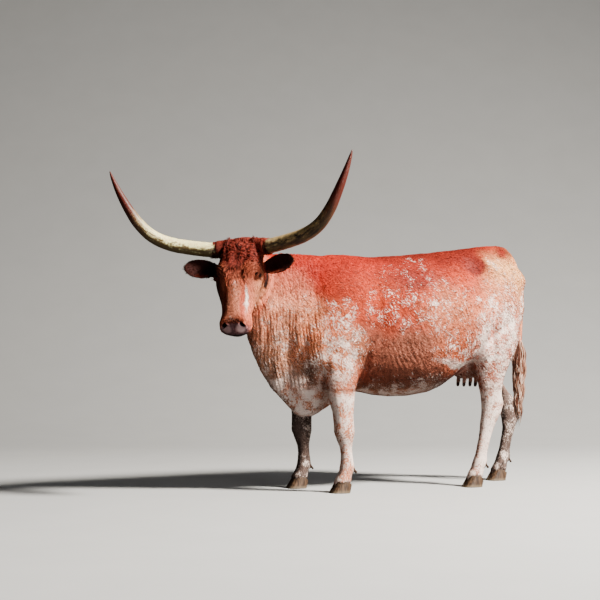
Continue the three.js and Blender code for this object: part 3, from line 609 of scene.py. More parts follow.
def shape_eye(points, side):
    centre = np.array(head_turn @ (eye_centre(side) - poll))
    look, long, upper = eye_axes(side)
    local = to_head(points) - centre
    distance = np.linalg.norm(local, axis=1)
    near = np.nonzero((distance < 0.050) & (local @ look > -0.012))[0]
    unit = local[near] / distance[near, None]
    angle = np.arccos(np.clip(unit @ look, -1, 1))
    x, y = unit @ long, unit @ upper
    size = np.hypot(x, y) + 1e-9
    tall = np.where(y > 0, ALMOND_UPPER, ALMOND_LOWER)
    limit = ((np.abs(x) / size / ALMOND_LONG) ** 1.5 + (np.abs(y) / size / tall) ** 1.5) ** (-1 / 1.5)
    a = angle / limit
    before = distance[near]
    rim = EYE_RADIUS + 0.0026 - 0.0055 * soft(a, 1.02, 0.93)
    fold = 0.0022 * np.cos((a - 1.18) / 0.50 * 2 * np.pi) * soft(a, 1.12, 1.3) * soft(a, 3.6, 2.2)
    lid = rim + 0.0016 * soft(a, 1.05, 1.22) * soft(a, 1.6, 1.3)
    crease = -0.0032 * np.exp(-(((a - 2.7) / 0.30) ** 2)) * (y < 0)
    target = lid + (before - lid) * soft(a, 1.45, 3.0) + fold + crease
    share = soft(before, 0.050, 0.040) * soft(local[near] @ look, -0.012, 0.0)
    moved = before + (target - before) * share
    points[near] += (unit * (moved - before)[:, None]) @ HEAD_TURN
    return points


points = positions(skin.data)
for side in (1, -1):
    points = shape_eye(points, side)
set_positions(skin.data, points)
print("eyes shaped")

# %% [markdown]
# The nostrils are commas that open forwards and outwards, with a thick rim. The mouth is a crease round the
# muzzle, and a short groove runs from between the nostrils down to the lip.

# %% Nostrils, mouth, and wrinkles of the brow


def hump(value, middle, width):
    """1 at the middle, falling off smoothly on both sides."""
    return np.exp(-(((value - middle) / width) ** 2))


points, out = positions(skin.data), normals(skin.data)
local = to_head(points)
move = np.zeros_like(points)
for side in (1, -1):
    centre = np.array(head_turn @ (nostril_centre(side) - poll))
    look = np.array((side * NOSTRIL_LOOK.x, NOSTRIL_LOOK.y, NOSTRIL_LOOK.z))
    wide = np.array((side * 0.80, -0.10, -0.58))
    wide -= look * (wide @ look)
    wide /= np.linalg.norm(wide)
    tall = np.cross(look, wide)
    rel = local - centre
    u, v, w = rel @ wide, rel @ tall, rel @ look
    away = np.hypot(u / 1.9, v - 20 * u * u * side)
    near = (np.abs(w) < 0.04) * (np.abs(u) < 0.035)
    pit = -0.014 * np.exp(-((away / 0.0066) ** 4)) * near
    rim = 0.0046 * hump(away, 0.0125, 0.0040) * near
    move += ((pit + rim)[:, None] * look) @ HEAD_TURN
x, y, z = local.T
lip = z + 0.080 + 0.004 * (x / 0.09) ** 2 + 0.55 * (y - 0.452) ** 2
front = soft(y, 0.40, 0.43)
relief = -0.0050 * hump(lip, 0, 0.0022) * front
relief += 0.0022 * hump(lip, 0.010, 0.006) * front
groove = hump(x, 0, 0.0030) * soft(y, 0.47, 0.49) * soft(z, -0.080, -0.070)
relief -= 0.0024 * groove
brow = np.exp(-(((np.abs(x) - 0.070) / 0.028) ** 2) - ((y - 0.190) / 0.040) ** 2) * soft(z, -0.05, -0.02)
bend = np.hypot(np.abs(x) - 0.118, y - 0.235) + 0.003 * ripple(points - STEP, 0.02, 21)
relief += 0.0042 * brow * wave(bend, 0.0155)
jaw = hump(y, 0.30, 0.10) * soft(z, -0.13, -0.16) * part["head"]
relief -= 0.0014 * jaw * wave(y, 0.024)
move += out * relief[:, None]
set_positions(skin.data, points + move)
smooth(skin, (local[:, 1] > 0.36) * part["head"] * 0.5, 2)
print("nostrils, mouth and brow moved points by up to", round(float(np.abs(move).max()) * 1000, 1), "mm")

# %% [markdown]
# The surface is far finer than it needs to be on the flat parts. Decimation removes faces where the shape
# is plain and keeps them at the eyes, the folds and the feet. After that the skin gets its unwrap, which
# the coat uses too, so that a tuft and the skin under it share one place on the map.

# %% Fewer faces, and the unwrap
SKIN_TRIANGLES = 190000

triangles = sum(len(face.vertices) - 2 for face in skin.data.polygons)
modifier = skin.modifiers.new("decimate", "DECIMATE")
modifier.ratio = SKIN_TRIANGLES / triangles
modifier.use_collapse_triangulate = True
skin.modifiers.new("triangles", "TRIANGULATE")
apply_modifiers(skin)
skin.data.shade_smooth()
skin.data.uv_layers.new(name="OFBake")
bpy.context.view_layer.objects.active = skin
skin.select_set(True)
bpy.ops.object.mode_set(mode="EDIT")
bpy.ops.mesh.select_all(action="SELECT")
bpy.ops.uv.smart_project(angle_limit=math.radians(66), island_margin=0.002)
bpy.ops.object.mode_set(mode="OBJECT")
skin.select_set(False)
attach(skin, "root")
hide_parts(*FLESH)
print("skin triangles", len(skin.data.polygons))

# %% [markdown]
# ## Horns
# A horn is a sheath that grows from its root, so it is ringed there, smooth further out and sharp and dark
# at the tip. It is made as it grows: one ring of points is extruded again and again along the horn's
# curve, each ring a little smaller, with ridges where the growth rings are. The share of the way along is
# kept as an attribute, so that the colours can follow the horn round its bend.

# %% The path of a horn
# across, forwards and up from the poll, in metres, for her right horn; the left one reaches 2 % wider
HORN_POINTS = (
    (0.060, -0.044, -0.040), (0.110, -0.036, -0.048), (0.160, -0.019, -0.047), (0.222, -0.008, -0.038),
    (0.286, 0.010, -0.026), (0.351, 0.033, -0.011), (0.415, 0.062, 0.015), (0.468, 0.088, 0.053),
    (0.519, 0.111, 0.114), (0.555, 0.124, 0.175), (0.587, 0.132, 0.237), (0.615, 0.137, 0.298),
    (0.640, 0.140, 0.361), (0.651, 0.141, 0.393),
)
HORN_RADII = (
    (0, 0.038), (0.125, 0.0395), (0.36, 0.0373), (0.53, 0.033), (0.63, 0.030), (0.715, 0.026),
    (0.8, 0.0215), (0.88, 0.016), (0.96, 0.009), (1, 0.0025),
)
LEFT_SPREAD = 1.02
HORN_AROUND = 28
HORN_RINGS = 130


def horn_path(side):
    """The middle line of a horn, as a curve of equal steps."""
    wide = LEFT_SPREAD if side > 0 else 1.0
    made = [poll + head_left * (side * wide * x) + level * y + head_up * z for x, y, z in HORN_POINTS]
    spline = [made[0] * 2 - made[1], *made, made[-1] * 2 - made[-2]]
    fine = []
    for i in range(1, len(spline) - 2):
        a, b, c, d = spline[i - 1:i + 3]
        for t in np.linspace(0, 1, 24, endpoint=False):
            fine.append(0.5 * ((2 * b) + (c - a) * t + (2 * a - 5 * b + 4 * c - d) * t * t
                               + (3 * b - a - 3 * c + d) * t ** 3))
    fine.append(made[-1])
    fine = np.array(fine)
    run = np.concatenate(((0,), np.cumsum(np.linalg.norm(np.diff(fine, axis=0), axis=1))))
    even = np.linspace(0, run[-1], HORN_RINGS)
    return np.stack([np.interp(even, run, fine[:, k]) for k in range(3)], 1), run[-1]


def read_table(table, t):
    return float(np.interp(t, *zip(*table)))


def ring_ridge(t, turn, length, side):
    """Growth rings: close and strong at the root, gone by the middle."""
    run = t * length
    warp = 0.006 * math.sin(turn + side) + 0.003 * math.sin(2 * turn + 1.3)
    strong = max(0.0, 1 - t / 0.55) ** 1.3
    fine = 0.0010 * math.sin((run + warp) / 0.0165 * 2 * math.pi)
    return strong * (fine + 0.0006 * math.sin((run - warp) / 0.043 * 2 * math.pi))


def grown(made, ring):
    """Extrudes a ring of points and gives back the new ring."""
    edges = [edge for edge in made.edges if edge.verts[0] in ring and edge.verts[1] in ring]
    new = bmesh.ops.extrude_edge_only(made, edges=edges)["geom"]
    return [vertex for vertex in new if isinstance(vertex, bmesh.types.BMVert)]


def in_order(ring, middle, spin, other):
    """The points of a fresh ring in order round the horn."""
    def turn(vertex):
        away = vertex.co - middle
        return math.atan2(away.dot(other), away.dot(spin)) % (2 * math.pi - 1e-4)
    return sorted(ring, key=turn)


def horn(name, side):
    path, length = horn_path(side)
    made = bmesh.new()
    along = made.verts.layers.float.new("along")
    wrap = made.verts.layers.float_vector.new("wrap")
    ring = bmesh.ops.create_circle(made, segments=HORN_AROUND, radius=1.0, cap_ends=False)["verts"]
    bmesh.ops.contextual_create(made, geom=ring)
    spin = Vector((0, 0, 1))
    for i in range(HORN_RINGS):
        t = i / (HORN_RINGS - 1)
        ahead = Vector(path[min(i + 1, HORN_RINGS - 1)] - path[max(i - 1, 0)]).normalized()
        spin = (spin - ahead * spin.dot(ahead)).normalized()
        other = ahead.cross(spin)
        if i:
            ring = grown(made, ring)
        ordered = in_order(ring, Vector(path[i - 1]), spin, other) if i else ring
        for k, vertex in enumerate(ordered):
            turn = 2 * math.pi * k / HORN_AROUND
            r = read_table(HORN_RADII, t) + ring_ridge(t, turn, length, side)
            vertex.co = Vector(path[i]) + (spin * math.cos(turn) + other * math.sin(turn)) * r
            vertex[along] = t
            vertex[wrap] = Vector((math.cos(turn), math.sin(turn), t * length / 0.12 + side))
    bmesh.ops.contextual_create(made, geom=ring)
    bmesh.ops.recalc_face_normals(made, faces=made.faces)
    piece = bare_mesh(name, made)
    piece.data.shade_smooth()
    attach(piece, "root")
    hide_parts(name)
    return piece


horns = [horn("horn_left", 1), horn("horn_right", -1)]
print("horn faces", [len(piece.data.polygons) for piece in horns])

# %% [markdown]
# ## Eyes
# The eye is a wet ball with a clear bulge over the iris, which is brown, with a wide pupil that lies flat.
# One closed ball does it: points near the line of sight are pushed out for the bulge, and the iris and
# pupil are drawn by an attribute that holds each point's place on the front of the eye.

# %% Eyeballs


def eyeball(name, side):
    centre = eye_centre(side)
    look, long, upper = (head_turn.transposed() @ Vector(axis) for axis in eye_axes(side))
    made = bmesh.new()
    bmesh.ops.create_uvsphere(made, u_segments=48, v_segments=32, radius=EYE_RADIUS - 0.0002)
    front = made.verts.layers.float_vector.new("front")
    for vertex in made.verts:
        x, y, z = vertex.co / EYE_RADIUS
        bulge = math.exp(-((x * x + y * y) / 0.42 ** 2)) if z > 0 else 0
        vertex[front] = Vector((x, y, z))
        vertex.co = centre + (long * x + upper * y + look * z) * (EYE_RADIUS + 0.0016 * bulge)
    bmesh.ops.recalc_face_normals(made, faces=made.faces)
    piece = bare_mesh(name, made)
    piece.data.shade_smooth()
    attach(piece, "root")
    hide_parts(name)
    return piece


eyes = [eyeball("eye_left", 1), eyeball("eye_right", -1)]
print("eyes", len(eyes))

# %% [markdown]
# ## Hooves
# Each foot stands on two claws: a hard wall with faint rings, a flat sole and a soft rounded edge at the
# top. A copy of each solid is remeshed and smoothed, and its sole is kept flat on the floor.

# %% Claws
CLAWS = [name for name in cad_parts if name.startswith("claw_")]


def claw(name):
    piece = bare_mesh(name + "_hoof", merged_copy([name]))
    low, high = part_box(name)
    remesh(piece, 0.0018)
    smooth(piece, np.ones(len(piece.data.vertices)), 9)
    points, out = positions(piece.data), normals(piece.data)
    rise = points[:, 2] - low.z
    rings = soft(rise, 0.004, 0.016) * soft(rise, high.z - low.z - 0.002, high.z - low.z - 0.014)
    front = points[:, 1] - low.y
    points += out * (0.0005 * rings * wave(rise + 0.25 * front, 0.0062))[:, None]
    points[:, 2] = np.where(points[:, 2] < low.z + 0.0024, low.z, points[:, 2])
    points[:, :2] = np.clip(points[:, :2], np.array(low)[:2] - 0.001, np.array(high)[:2] + 0.001)
    set_positions(piece.data, points)
    modifier = piece.modifiers.new("decimate", "DECIMATE")
    modifier.ratio = 0.5
    apply_modifiers(piece)
    piece.data.shade_smooth()
    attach(piece, "root")
    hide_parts(name)
    return piece


hooves = [claw(name) for name in CLAWS]
print("hooves", len(hooves), "triangles", sum(len(p.data.polygons) for p in hooves))

# %% [markdown]
# ## Hair
# All hair on the model is made of closed locks: a thin three-sided sliver with a point at both ends. A
# short tuft of the coat has one ring of three points between its ends, a long lock of the tail has many.
# One lock is modelled with extrusions, and its points are then laid along as many paths as there are locks.

# %% One lock, and how it is laid along many paths
PATCH = 0.003


def lock_shape(stations):
    """Points (station, turn), triangles and map places of one lock with that many stations."""
    made = bmesh.new()
    first = bmesh.ops.create_circle(made, segments=3, radius=1.0)["verts"]
    bmesh.ops.translate(made, verts=made.verts, vec=(0, 0, 1))

    def grown_to(ring, height):
        ring = grown(made, ring)
        for vertex in ring:
            vertex.co.z = height
        return ring

    ring = first
    for station in range(2, stations - 1):
        ring = grown_to(ring, station)
    for base, height in ((ring, stations - 1), (first, 0)):
        bmesh.ops.pointmerge(made, verts=grown_to(base, height), merge_co=(0, 0, height))
    bmesh.ops.triangulate(made, faces=made.faces)
    bmesh.ops.recalc_face_normals(made, faces=made.faces)
    made.verts.index_update()
    spots = np.array([vertex.co for vertex in made.verts])
    triangles = np.array([[vertex.index for vertex in face.verts] for face in made.faces])
    made.free()
    point = np.hypot(spots[:, 0], spots[:, 1]) < 0.5
    turn = np.arctan2(spots[:, 1], spots[:, 0]) / (2 * np.pi) % 1
    map_places = np.zeros((*triangles.shape, 2))
    for i, corners in enumerate(triangles):
        turns = np.where(point[corners], np.nan, turn[corners])
        if np.nanmax(turns) - np.nanmin(turns) > 0.5:
            turns = np.where(turns < 0.3, turns + 1, turns)
        turns = np.where(np.isnan(turns), np.nanmean(turns), turns)
        map_places[i, :, 0] = turns - 0.5
        map_places[i, :, 1] = spots[corners, 2] / (stations - 1) - 0.5
    return spots, triangles, map_places * PATCH


def unit(values):
    """Rows of directions, each made one long."""
    return values / (np.linalg.norm(values, axis=-1, keepdims=True) + 1e-12)


def keep_values(mesh, name, values):
    """Keeps a number for each point of a mesh, for a material to read."""
    mesh.attributes.new(name, "FLOAT", "POINT").data.foreach_set("value", values.astype(np.float32))


def lay_locks(name, paths, widths, rise, flat, shade, root_map, material):
    """A mesh of closed locks. Paths are (lock, station, 3), widths (lock, station), rise (lock, 3)."""
    count, stations = paths.shape[:2]
    spots, triangles, map_places = lock_shape(stations)
    station = np.round(spots[:, 2]).astype(int)
    ahead = unit(np.gradient(paths, axis=1))
    rise = unit(rise[:, None, :] - ahead * (ahead * rise[:, None, :]).sum(2, keepdims=True))
    across = np.cross(ahead, rise)
    wide = widths[:, :, None]
    places = (paths[:, station] + across[:, station] * wide[:, station] * spots[None, :, 1:2]
              + rise[:, station] * wide[:, station] * flat * spots[None, :, 0:1])
    mesh = bpy.data.meshes.new(name)
    mesh.vertices.add(count * len(spots))
    mesh.vertices.foreach_set("co", places.astype(np.float32).ravel())
    corners = (triangles[None] + np.arange(count)[:, None, None] * len(spots)).ravel()
    mesh.loops.add(len(corners))
    mesh.loops.foreach_set("vertex_index", corners.astype(np.int32))
    mesh.polygons.add(len(corners) // 3)
    mesh.polygons.foreach_set("loop_start", np.arange(0, len(corners), 3, dtype=np.int32))
    mesh.update(calc_edges=True)
    keep_values(mesh, "shade", np.repeat(shade, len(spots)))
    unwrap = mesh.uv_layers.new(name="OFBake")
    spread = (root_map[:, None, None, :] + map_places[None]).ravel()
    unwrap.data.foreach_set("uv", np.clip(spread, 0, 1).astype(np.float32))
    mesh.shade_smooth()
    mesh.materials.append(material)
    piece = bpy.data.objects.new(name, mesh)
    bpy.context.scene.collection.objects.link(piece)
    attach(piece, "root")
    return piece


print("lock of 3 stations", [len(a) for a in lock_shape(3)], "of 8", [len(a) for a in lock_shape(8)])

# %% [markdown]
# The switch of the tail is long hair that hangs from the last third of the dock. Each lock leaves the dock
# outwards, turns down within a few centimetres and then falls nearly straight, with a slow wave. The locks
# are rooted all round and end at different heights, so the switch is full in the middle, thin at its end.

# %% The switch of the tail
switch_hair, nodes = new_material("switch hair", Roughness=0.6, Specular_IOR_Level=0.2)
shade = nodes.attribute("shade")
tan = nodes.mixed(nodes.ramp(shade, 0.25, 0.75), (0.19, 0.072, 0.045), (0.60, 0.33, 0.22))
nodes.feed(Base_Color=nodes.mixed(nodes.ramp(shade, 0.80, 0.95), tan, (0.80, 0.58, 0.46)))
# places along the tail where the long hair grows, on the cow
SWITCH_PATH = (
    (0.0035, 0.7105, 0.845), (0.004, 0.708, 0.80), (0.004, 0.706, 0.745), (0.004, 0.704, 0.690),
    (0.004, 0.700, 0.60),
)
SWITCH_LOCKS = 1100
SWITCH_STRANDS = 60
SWITCH_STATIONS = 12
SWITCH_LOW = 0.312


def switch_of_the_tail():
    draw = np.random.default_rng(31)
    t = draw.uniform(0, 1, SWITCH_LOCKS) ** 1.1
    heights = np.array(SWITCH_PATH)
    root = np.stack([np.interp(t, np.linspace(0, 1, len(heights)), heights[:, k]) for k in range(3)], 1)
    strand = draw.integers(0, SWITCH_STRANDS, SWITCH_LOCKS)
    turn = draw.uniform(0, 2 * np.pi, SWITCH_STRANDS)[strand] + draw.normal(0, 0.22, SWITCH_LOCKS)
    ring = np.stack([np.cos(turn), np.sin(turn), np.zeros_like(turn)], 1)
    radius = 0.0125 * (1 - 0.35 * t)
    ends = SWITCH_LOW + draw.uniform(0, 0.20, SWITCH_LOCKS) + 0.14 * (1 - t)
    reach = draw.uniform(0.006, 0.030, SWITCH_LOCKS) * (1.15 - 0.5 * t)
    wave_turns = draw.uniform(0, 2 * np.pi, (SWITCH_STRANDS, 2))[strand]
    wave_turns = wave_turns + draw.normal(0, 0.3, (SWITCH_LOCKS, 2))
    s = np.linspace(0, 1, SWITCH_STATIONS)[None, :, None]
    fall = (ends - root[:, 2])[:, None, None] * s
    spread = (radius[:, None, None] * 0.8 + reach[:, None, None] * np.sin(np.minimum(1, s * 2.2) * np.pi / 2)
              * (1 - 0.62 * np.clip(s - 0.45, 0, 1) / 0.55))
    paths = root[:, None, :] + ring[:, None, :] * spread
    paths[:, :, 2:] += fall
    height = paths[:, :, 2]
    bend = wave_turns[:, :1], 0.6 * wave_turns[:, 1:]
    paths[:, :, 0] += 0.0075 * np.sin(height / 0.105 * 2 * np.pi + bend[0]) * s[..., 0]
    paths[:, :, 1] += 0.0095 * np.sin(height / 0.130 * 2 * np.pi + bend[1]) * s[..., 0] - 0.004 * s[..., 0]
    width = draw.uniform(0.0014, 0.0026, SWITCH_LOCKS)
    widths = width[:, None] * np.sin(np.pi * np.linspace(0.04, 0.99, SWITCH_STATIONS))[None] ** 0.55
    shade = np.clip(draw.uniform(0, 1, SWITCH_STRANDS)[strand] + draw.normal(0, 0.10, SWITCH_LOCKS), 0, 1)
    root_map = np.stack([(turn % (2 * np.pi) / (2 * np.pi)) * 0.9 + 0.05, t * 0.9 + 0.05], 1)
    paths = paths + STEP
    piece = lay_locks("tail_switch_hair", paths, widths, ring, 0.7, shade, root_map, switch_hair)
    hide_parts("tail_switch")
    return piece


switch = switch_of_the_tail()
print("switch triangles", len(switch.data.polygons))

# %% [markdown]
# ## Colours of the coat
# Her coat is red hair mixed with white, and how much white there is changes over the body: hardly any
# along the back and the poll, about half on the ribs, nearly all on the thighs and legs. It is drawn as
# one shader group, so that the skin and every tuft on it take the same markings. Soft-edged spots, whose
# edges noise has frayed, set the hair's colour and its share of white, and a streaky noise then decides
# for each small place whether the hair there is white.

# %% A group for the markings


def paint(red, green, blue):
    """A colour given as it looks on a screen, from 0 to 255, as the light it reflects."""
    values = (red, green, blue)
    return tuple(((c / 255 + 0.055) / 1.055) ** 2.4 if c > 10 else c / 255 / 12.92 for c in values)


def new_group(name, inputs, outputs):
    """An empty shader group. Sockets are given as name: kind."""
    group = bpy.data.node_groups.new(name, "ShaderNodeTree")
    for sockets, way in ((inputs, "INPUT"), (outputs, "OUTPUT")):
        for socket, kind in sockets.items():
            group.interface.new_socket(socket, in_out=way, socket_type="NodeSocket" + kind)
    return group, group.nodes.new("NodeGroupInput").outputs, group.nodes.new("NodeGroupOutput").inputs


def cow_place(nodes):
    """Object coordinates, shifted so that they are the cow's own places."""
    return nodes.add("Mapping", {"Vector": nodes.object_place(), "Location": tuple(-step)}).outputs[0]


def seen_from_head(nodes, place):
    """How far a place is to her left on the head, down the face and out of the face."""
    from_poll = nodes.vector("SUBTRACT", place, tuple(poll - step))
    axes = (head_left, down_face, out_face)
    return [nodes.vector("DOT_PRODUCT", from_poll, tuple(axis)) for axis in axes]


def both_halves(nodes, across, down, outwards):
    """A place on the head, with the two halves of the head as one."""
    return nodes.join(nodes.math("ABSOLUTE", across), down, outwards)


def fray(nodes, place, scale, reach):
    """The place, shifted about by noise."""
    shift = nodes.vector("SUBTRACT", nodes.noise(place, scale, output="Color"), (0.5, 0.5, 0.5))
    return nodes.vector("ADD", place, nodes.vector("MULTIPLY", shift, (reach, reach, reach)))


def mark(nodes, place, middle, reach, softness):
    """A mask that is 1 inside an egg-shaped place."""
    from_middle = nodes.vector("SUBTRACT", place, middle)
    scaled = nodes.vector("MULTIPLY", from_middle, tuple(1 / r for r in reach))
    return nodes.ramp(nodes.vector("LENGTH", scaled), 1 + softness, 1 - softness)


MARKING_INPUTS = {"Place": "Vector", "Hair": "Float"}
group, given, result = new_group("longhorn markings", MARKING_INPUTS, {"Colour": "Color"})
markings = Nodes(group)
print("sockets of the markings", [item.name for item in group.interface.items_tree])

# %% [markdown]
# The marks are listed roughly from large to small, each laid over the ones before it: its middle and its
# reach on the cow, its colour, the shares of white hair and of the net that white hair forms, and how soft
# its edge is; a few of them are painted shade or painted highlights. A mark with a middle off the centre
# line stands on both sides of her.

# %% Marks on the body
DEEP_RED = paint(118, 30, 18)
RED = paint(170, 36, 20)
ORANGE = paint(188, 68, 38)
TAN = paint(204, 102, 64)
BROWN_TAN = paint(164, 96, 74)
PALE_TAN = paint(222, 138, 98)
CREAM = paint(244, 174, 116)
PINK_WHITE = paint(255, 230, 216)
ASH = paint(168, 158, 150)

# name, middle, reach, colour, white share, share of the net, softness
BODY_MARKS = (
    # browner hair and painted shade: the lower barrel is darker than the upper
    ("lower barrel", (0.30, -0.10, 0.74), (0.40, 0.46, 0.20), BROWN_TAN, 0.06, 0.10, 0.6),
    ("back", (0, -0.10, 1.32), (0.24, 0.66, 0.18), RED, 0.02, 0.0, 0.5),
    ("spine", (0, 0.06, 1.32), (0.21, 0.50, 0.13), DEEP_RED, 0.02, 0.1, 0.55),
    ("upper ribs", (0.22, -0.12, 1.15), (0.24, 0.18, 0.12), paint(132, 38, 26), 0.06, 0.5, 0.8),
    ("withers and crest", (0, -0.72, 1.24), (0.30, 0.38, 0.24), RED, 0.0, 0.0, 0.5),
    ("neck", (0.1, -0.86, 0.92), (0.30, 0.20, 0.22), paint(232, 152, 116), 0.18, 0.0, 0.6),
    ("throat side", (0.1, -0.86, 0.66), (0.30, 0.22, 0.18), paint(206, 144, 112), 0.26, 0.0, 0.5),
    ("before the shoulder", (0.2, -0.68, 0.82), (0.20, 0.10, 0.20), PALE_TAN, 0.24, 0.1, 0.6),
    ("brisket", (0, -0.70, 0.49), (0.20, 0.20, 0.15), ASH, 0.40, 0.8, 0.7),
    # painted shade: a darker colour in the hollow between brisket and arm
    ("painted shade in the chest hollow", (0.13, -0.68, 0.655), (0.12, 0.055, 0.06), paint(112, 80, 66), 0.26, 0.4, 0.7),
    ("shoulder net", (0.26, -0.57, 0.90), (0.24, 0.070, 0.105), TAN, 0.28, 0.9, 0.7),
    ("arm", (0.24, -0.55, 0.72), (0.16, 0.11, 0.15), PALE_TAN, 0.40, 0.9, 0.6),
    ("rib net", (0.34, -0.22, 0.99), (0.24, 0.20, 0.11), ORANGE, 0.13, 0.80, 0.8),
    ("flank net", (0.34, 0.08, 0.98), (0.26, 0.16, 0.13), paint(208, 118, 82), 0.12, 0.85, 0.7),
    ("low flank", (0.34, 0.16, 0.76), (0.26, 0.16, 0.10), TAN, 0.16, 0.8, 0.6),
    # painted shade: the underside of the belly is coloured a near black-brown
    ("belly", (0.0, -0.05, 0.55), (0.28, 0.52, 0.10), paint(62, 44, 32), 0.11, 0.5, 0.5),
    ("rump", (0.10, 0.56, 1.17), (0.34, 0.20, 0.17), CREAM, 0.06, 0.3, 0.45),
    ("hind quarter", (0.22, 0.46, 0.98), (0.26, 0.20, 0.18), PALE_TAN, 0.21, 0.5, 0.6),
    ("thigh", (0.22, 0.48, 0.76), (0.26, 0.22, 0.28), paint(206, 128, 104), 0.46, 0.5, 0.4),
    ("hind leg", (0.16, 0.66, 0.60), (0.22, 0.16, 0.18), paint(196, 136, 112), 0.53, 0.4, 0.4),
    ("buttock", (0.12, 0.68, 0.98), (0.24, 0.06, 0.24), PALE_TAN, 0.42, 0.3, 0.5),
    ("dock", (0, 0.70, 1.05), (0.05, 0.035, 0.26), PALE_TAN, 0.25, 0.2, 0.3),
    # painted highlight: paler cream on the point of the hook bone
    ("hook bone", (0.22, 0.42, 1.26), (0.12, 0.05, 0.04), CREAM, 0.30, 0.2, 0.6),
    ("tail head", (0.03, 0.545, 1.335), (0.12, 0.080, 0.055), paint(140, 40, 26), 0.02, 0.0, 0.5),
    # painted shade: dark red in the hollow before the hook bone
    ("hollow", (0.20, 0.31, 1.262), (0.16, 0.070, 0.050), DEEP_RED, 0.0, 0.0, 0.5),
    ("fold line", (0.24, 0.24, 0.70), (0.14, 0.18, 0.016), PINK_WHITE, 0.55, 0.5, 0.8),
)


def lay(nodes, coat_here, mask, colour, white, net):
    """A mark's colour, white share and net over what is there."""
    return (nodes.mixed(mask, coat_here[0], colour), nodes.blend(mask, coat_here[1], white),
            nodes.blend(mask, coat_here[2], net))


def lay_marks(nodes, coat_here, place, rows):
    for _, middle, reach, colour, white, net, softness in rows:
        mask = mark(nodes, place, middle, reach, softness)
        coat_here = lay(nodes, coat_here, mask, colour, white, net)
    return coat_here


frayed = fray(markings, fray(markings, given["Place"], 5.0, 0.16), 28.0, 0.035)
across = markings.vector("MULTIPLY", markings.vector("ABSOLUTE", frayed), (1, 0, 0))
both_sides = markings.vector("ADD", markings.vector("MULTIPLY", frayed, (0, 1, 1)), across)
coat_here = lay_marks(markings, (ORANGE, 0.05, 0.15), both_sides, BODY_MARKS)
print("body marks", len(BODY_MARKS))

# %% [markdown]
# Legs and head need their own marks. The legs are known by their height: the hind ones are nearly white,
# the fore ones roan, and the two far ones a dark grey roan, which is painted shade. The marks of the head
# are given in the head's own directions: across, down the face and out of it. They are frayed less, because
# the face is small. Two marks are on one side only: the white streak beside the bridge of the nose, and
# painted shade on her right cheek.

# %% Marks on the legs and the head
HEAD_MARKS = (
    ("face", (0, 0.24, -0.10), (0.17, 0.34, 0.20), paint(206, 108, 78), 0.04, 0.0, 0.25),
    ("cheek", (0.13, 0.27, -0.12), (0.06, 0.14, 0.10), PALE_TAN, 0.10, 0.1, 0.5),
    ("nose bridge", (0, 0.37, 0.0), (0.040, 0.12, 0.04), paint(222, 132, 100), 0.12, 0.2, 0.5),
    ("side of the nose", (0.048, 0.36, -0.01), (0.012, 0.10, 0.05), paint(176, 74, 48), 0.06, 0.1, 0.6),
    ("poll and forehead", (0, 0.05, 0.0), (0.18, 0.175, 0.12), paint(112, 40, 30), 0.0, 0.0, 0.35),
    ("brow", (0.080, 0.19, 0.0), (0.04, 0.04, 0.04), paint(190, 96, 68), 0.06, 0.1, 0.6),
    ("eye rim", (0.130, 0.219, -0.022), (0.019, 0.019, 0.018), paint(40, 17, 13), 0.0, 0.0, 0.5),
    ("jaw", (0.0, 0.30, -0.19), (0.12, 0.20, 0.07), PALE_TAN, 0.16, 0.1, 0.4),
    # painted shade: a near-black patch in the gap behind the jaw, below the ear
    ("behind the jaw", (0.105, 0.155, -0.178), (0.022, 0.062, 0.045), paint(34, 14, 10), 0.0, 0.0, 0.35),
    ("chin", (0, 0.47, -0.13), (0.08, 0.06, 0.04), paint(150, 108, 96), 0.3, 0.3, 0.4),
    ("back of the ear", (0.20, 0.14, -0.12), (0.12, 0.09, 0.075), paint(150, 52, 30), 0.04, 0.0, 0.25),
)
ONE_SIDED_MARKS = (
    # painted shade: her right cheek is made darker than her left
    ("painted shade on her right cheek", (-0.125, 0.27, -0.08), (0.055, 0.24, 0.13), paint(88, 38, 27), 0.02, 0.0, 0.4),
    ("blaze", (0.062, 0.345, 0.0), (0.0075, 0.058, 0.06), PINK_WHITE, 0.50, 0.4, 0.7),
)

where = markings.split(frayed)
legs_here = markings.ramp(where["Z"], 0.64, 0.50)
fore = markings.ramp(where["Y"], 0.0, -0.2)
# painted shade: the two legs on her right side are darker and greyer than her left ones
far_legs_in_painted_shade = markings.ramp(where["X"], 0.03, -0.03)
leg_colour = markings.mixed(fore, paint(196, 136, 112), paint(204, 128, 94))
leg_colour = markings.mixed(far_legs_in_painted_shade, leg_colour, paint(104, 84, 76))
leg_white = markings.math("SUBTRACT", markings.blend(fore, 0.57, 0.50), markings.times(far_legs_in_painted_shade, 0.30))
coat_here = lay(markings, coat_here, legs_here, leg_colour, leg_white, 0.4)

seen = seen_from_head(markings, fray(markings, given["Place"], 28.0, 0.03))
head_plain, head_folded = markings.join(*seen), both_halves(markings, *seen)
coat_here = lay_marks(markings, coat_here, head_folded, HEAD_MARKS)
hair_colour, white_share, net_share = lay_marks(markings, coat_here, head_plain, ONE_SIDED_MARKS)
print("head marks", len(HEAD_MARKS) + len(ONE_SIDED_MARKS))

# %% [markdown]
# White hairs come in small streaks along the lie of the coat, and on the ribs and shoulders they join to an
# irregular net. The hair's own number shifts the choice, so that single tufts stand out.

# %% White hairs among the red


def along_lie(nodes, place, angle, wide, long):
    """Places turned so that their Y runs down and back at that angle, and stretched along it."""
    inputs = {"Vector": place, "Rotation": (-math.radians(angle), 0, 0), "Scale": (wide, long, wide)}
    return nodes.add("Mapping", inputs, vector_type="TEXTURE").outputs[0]


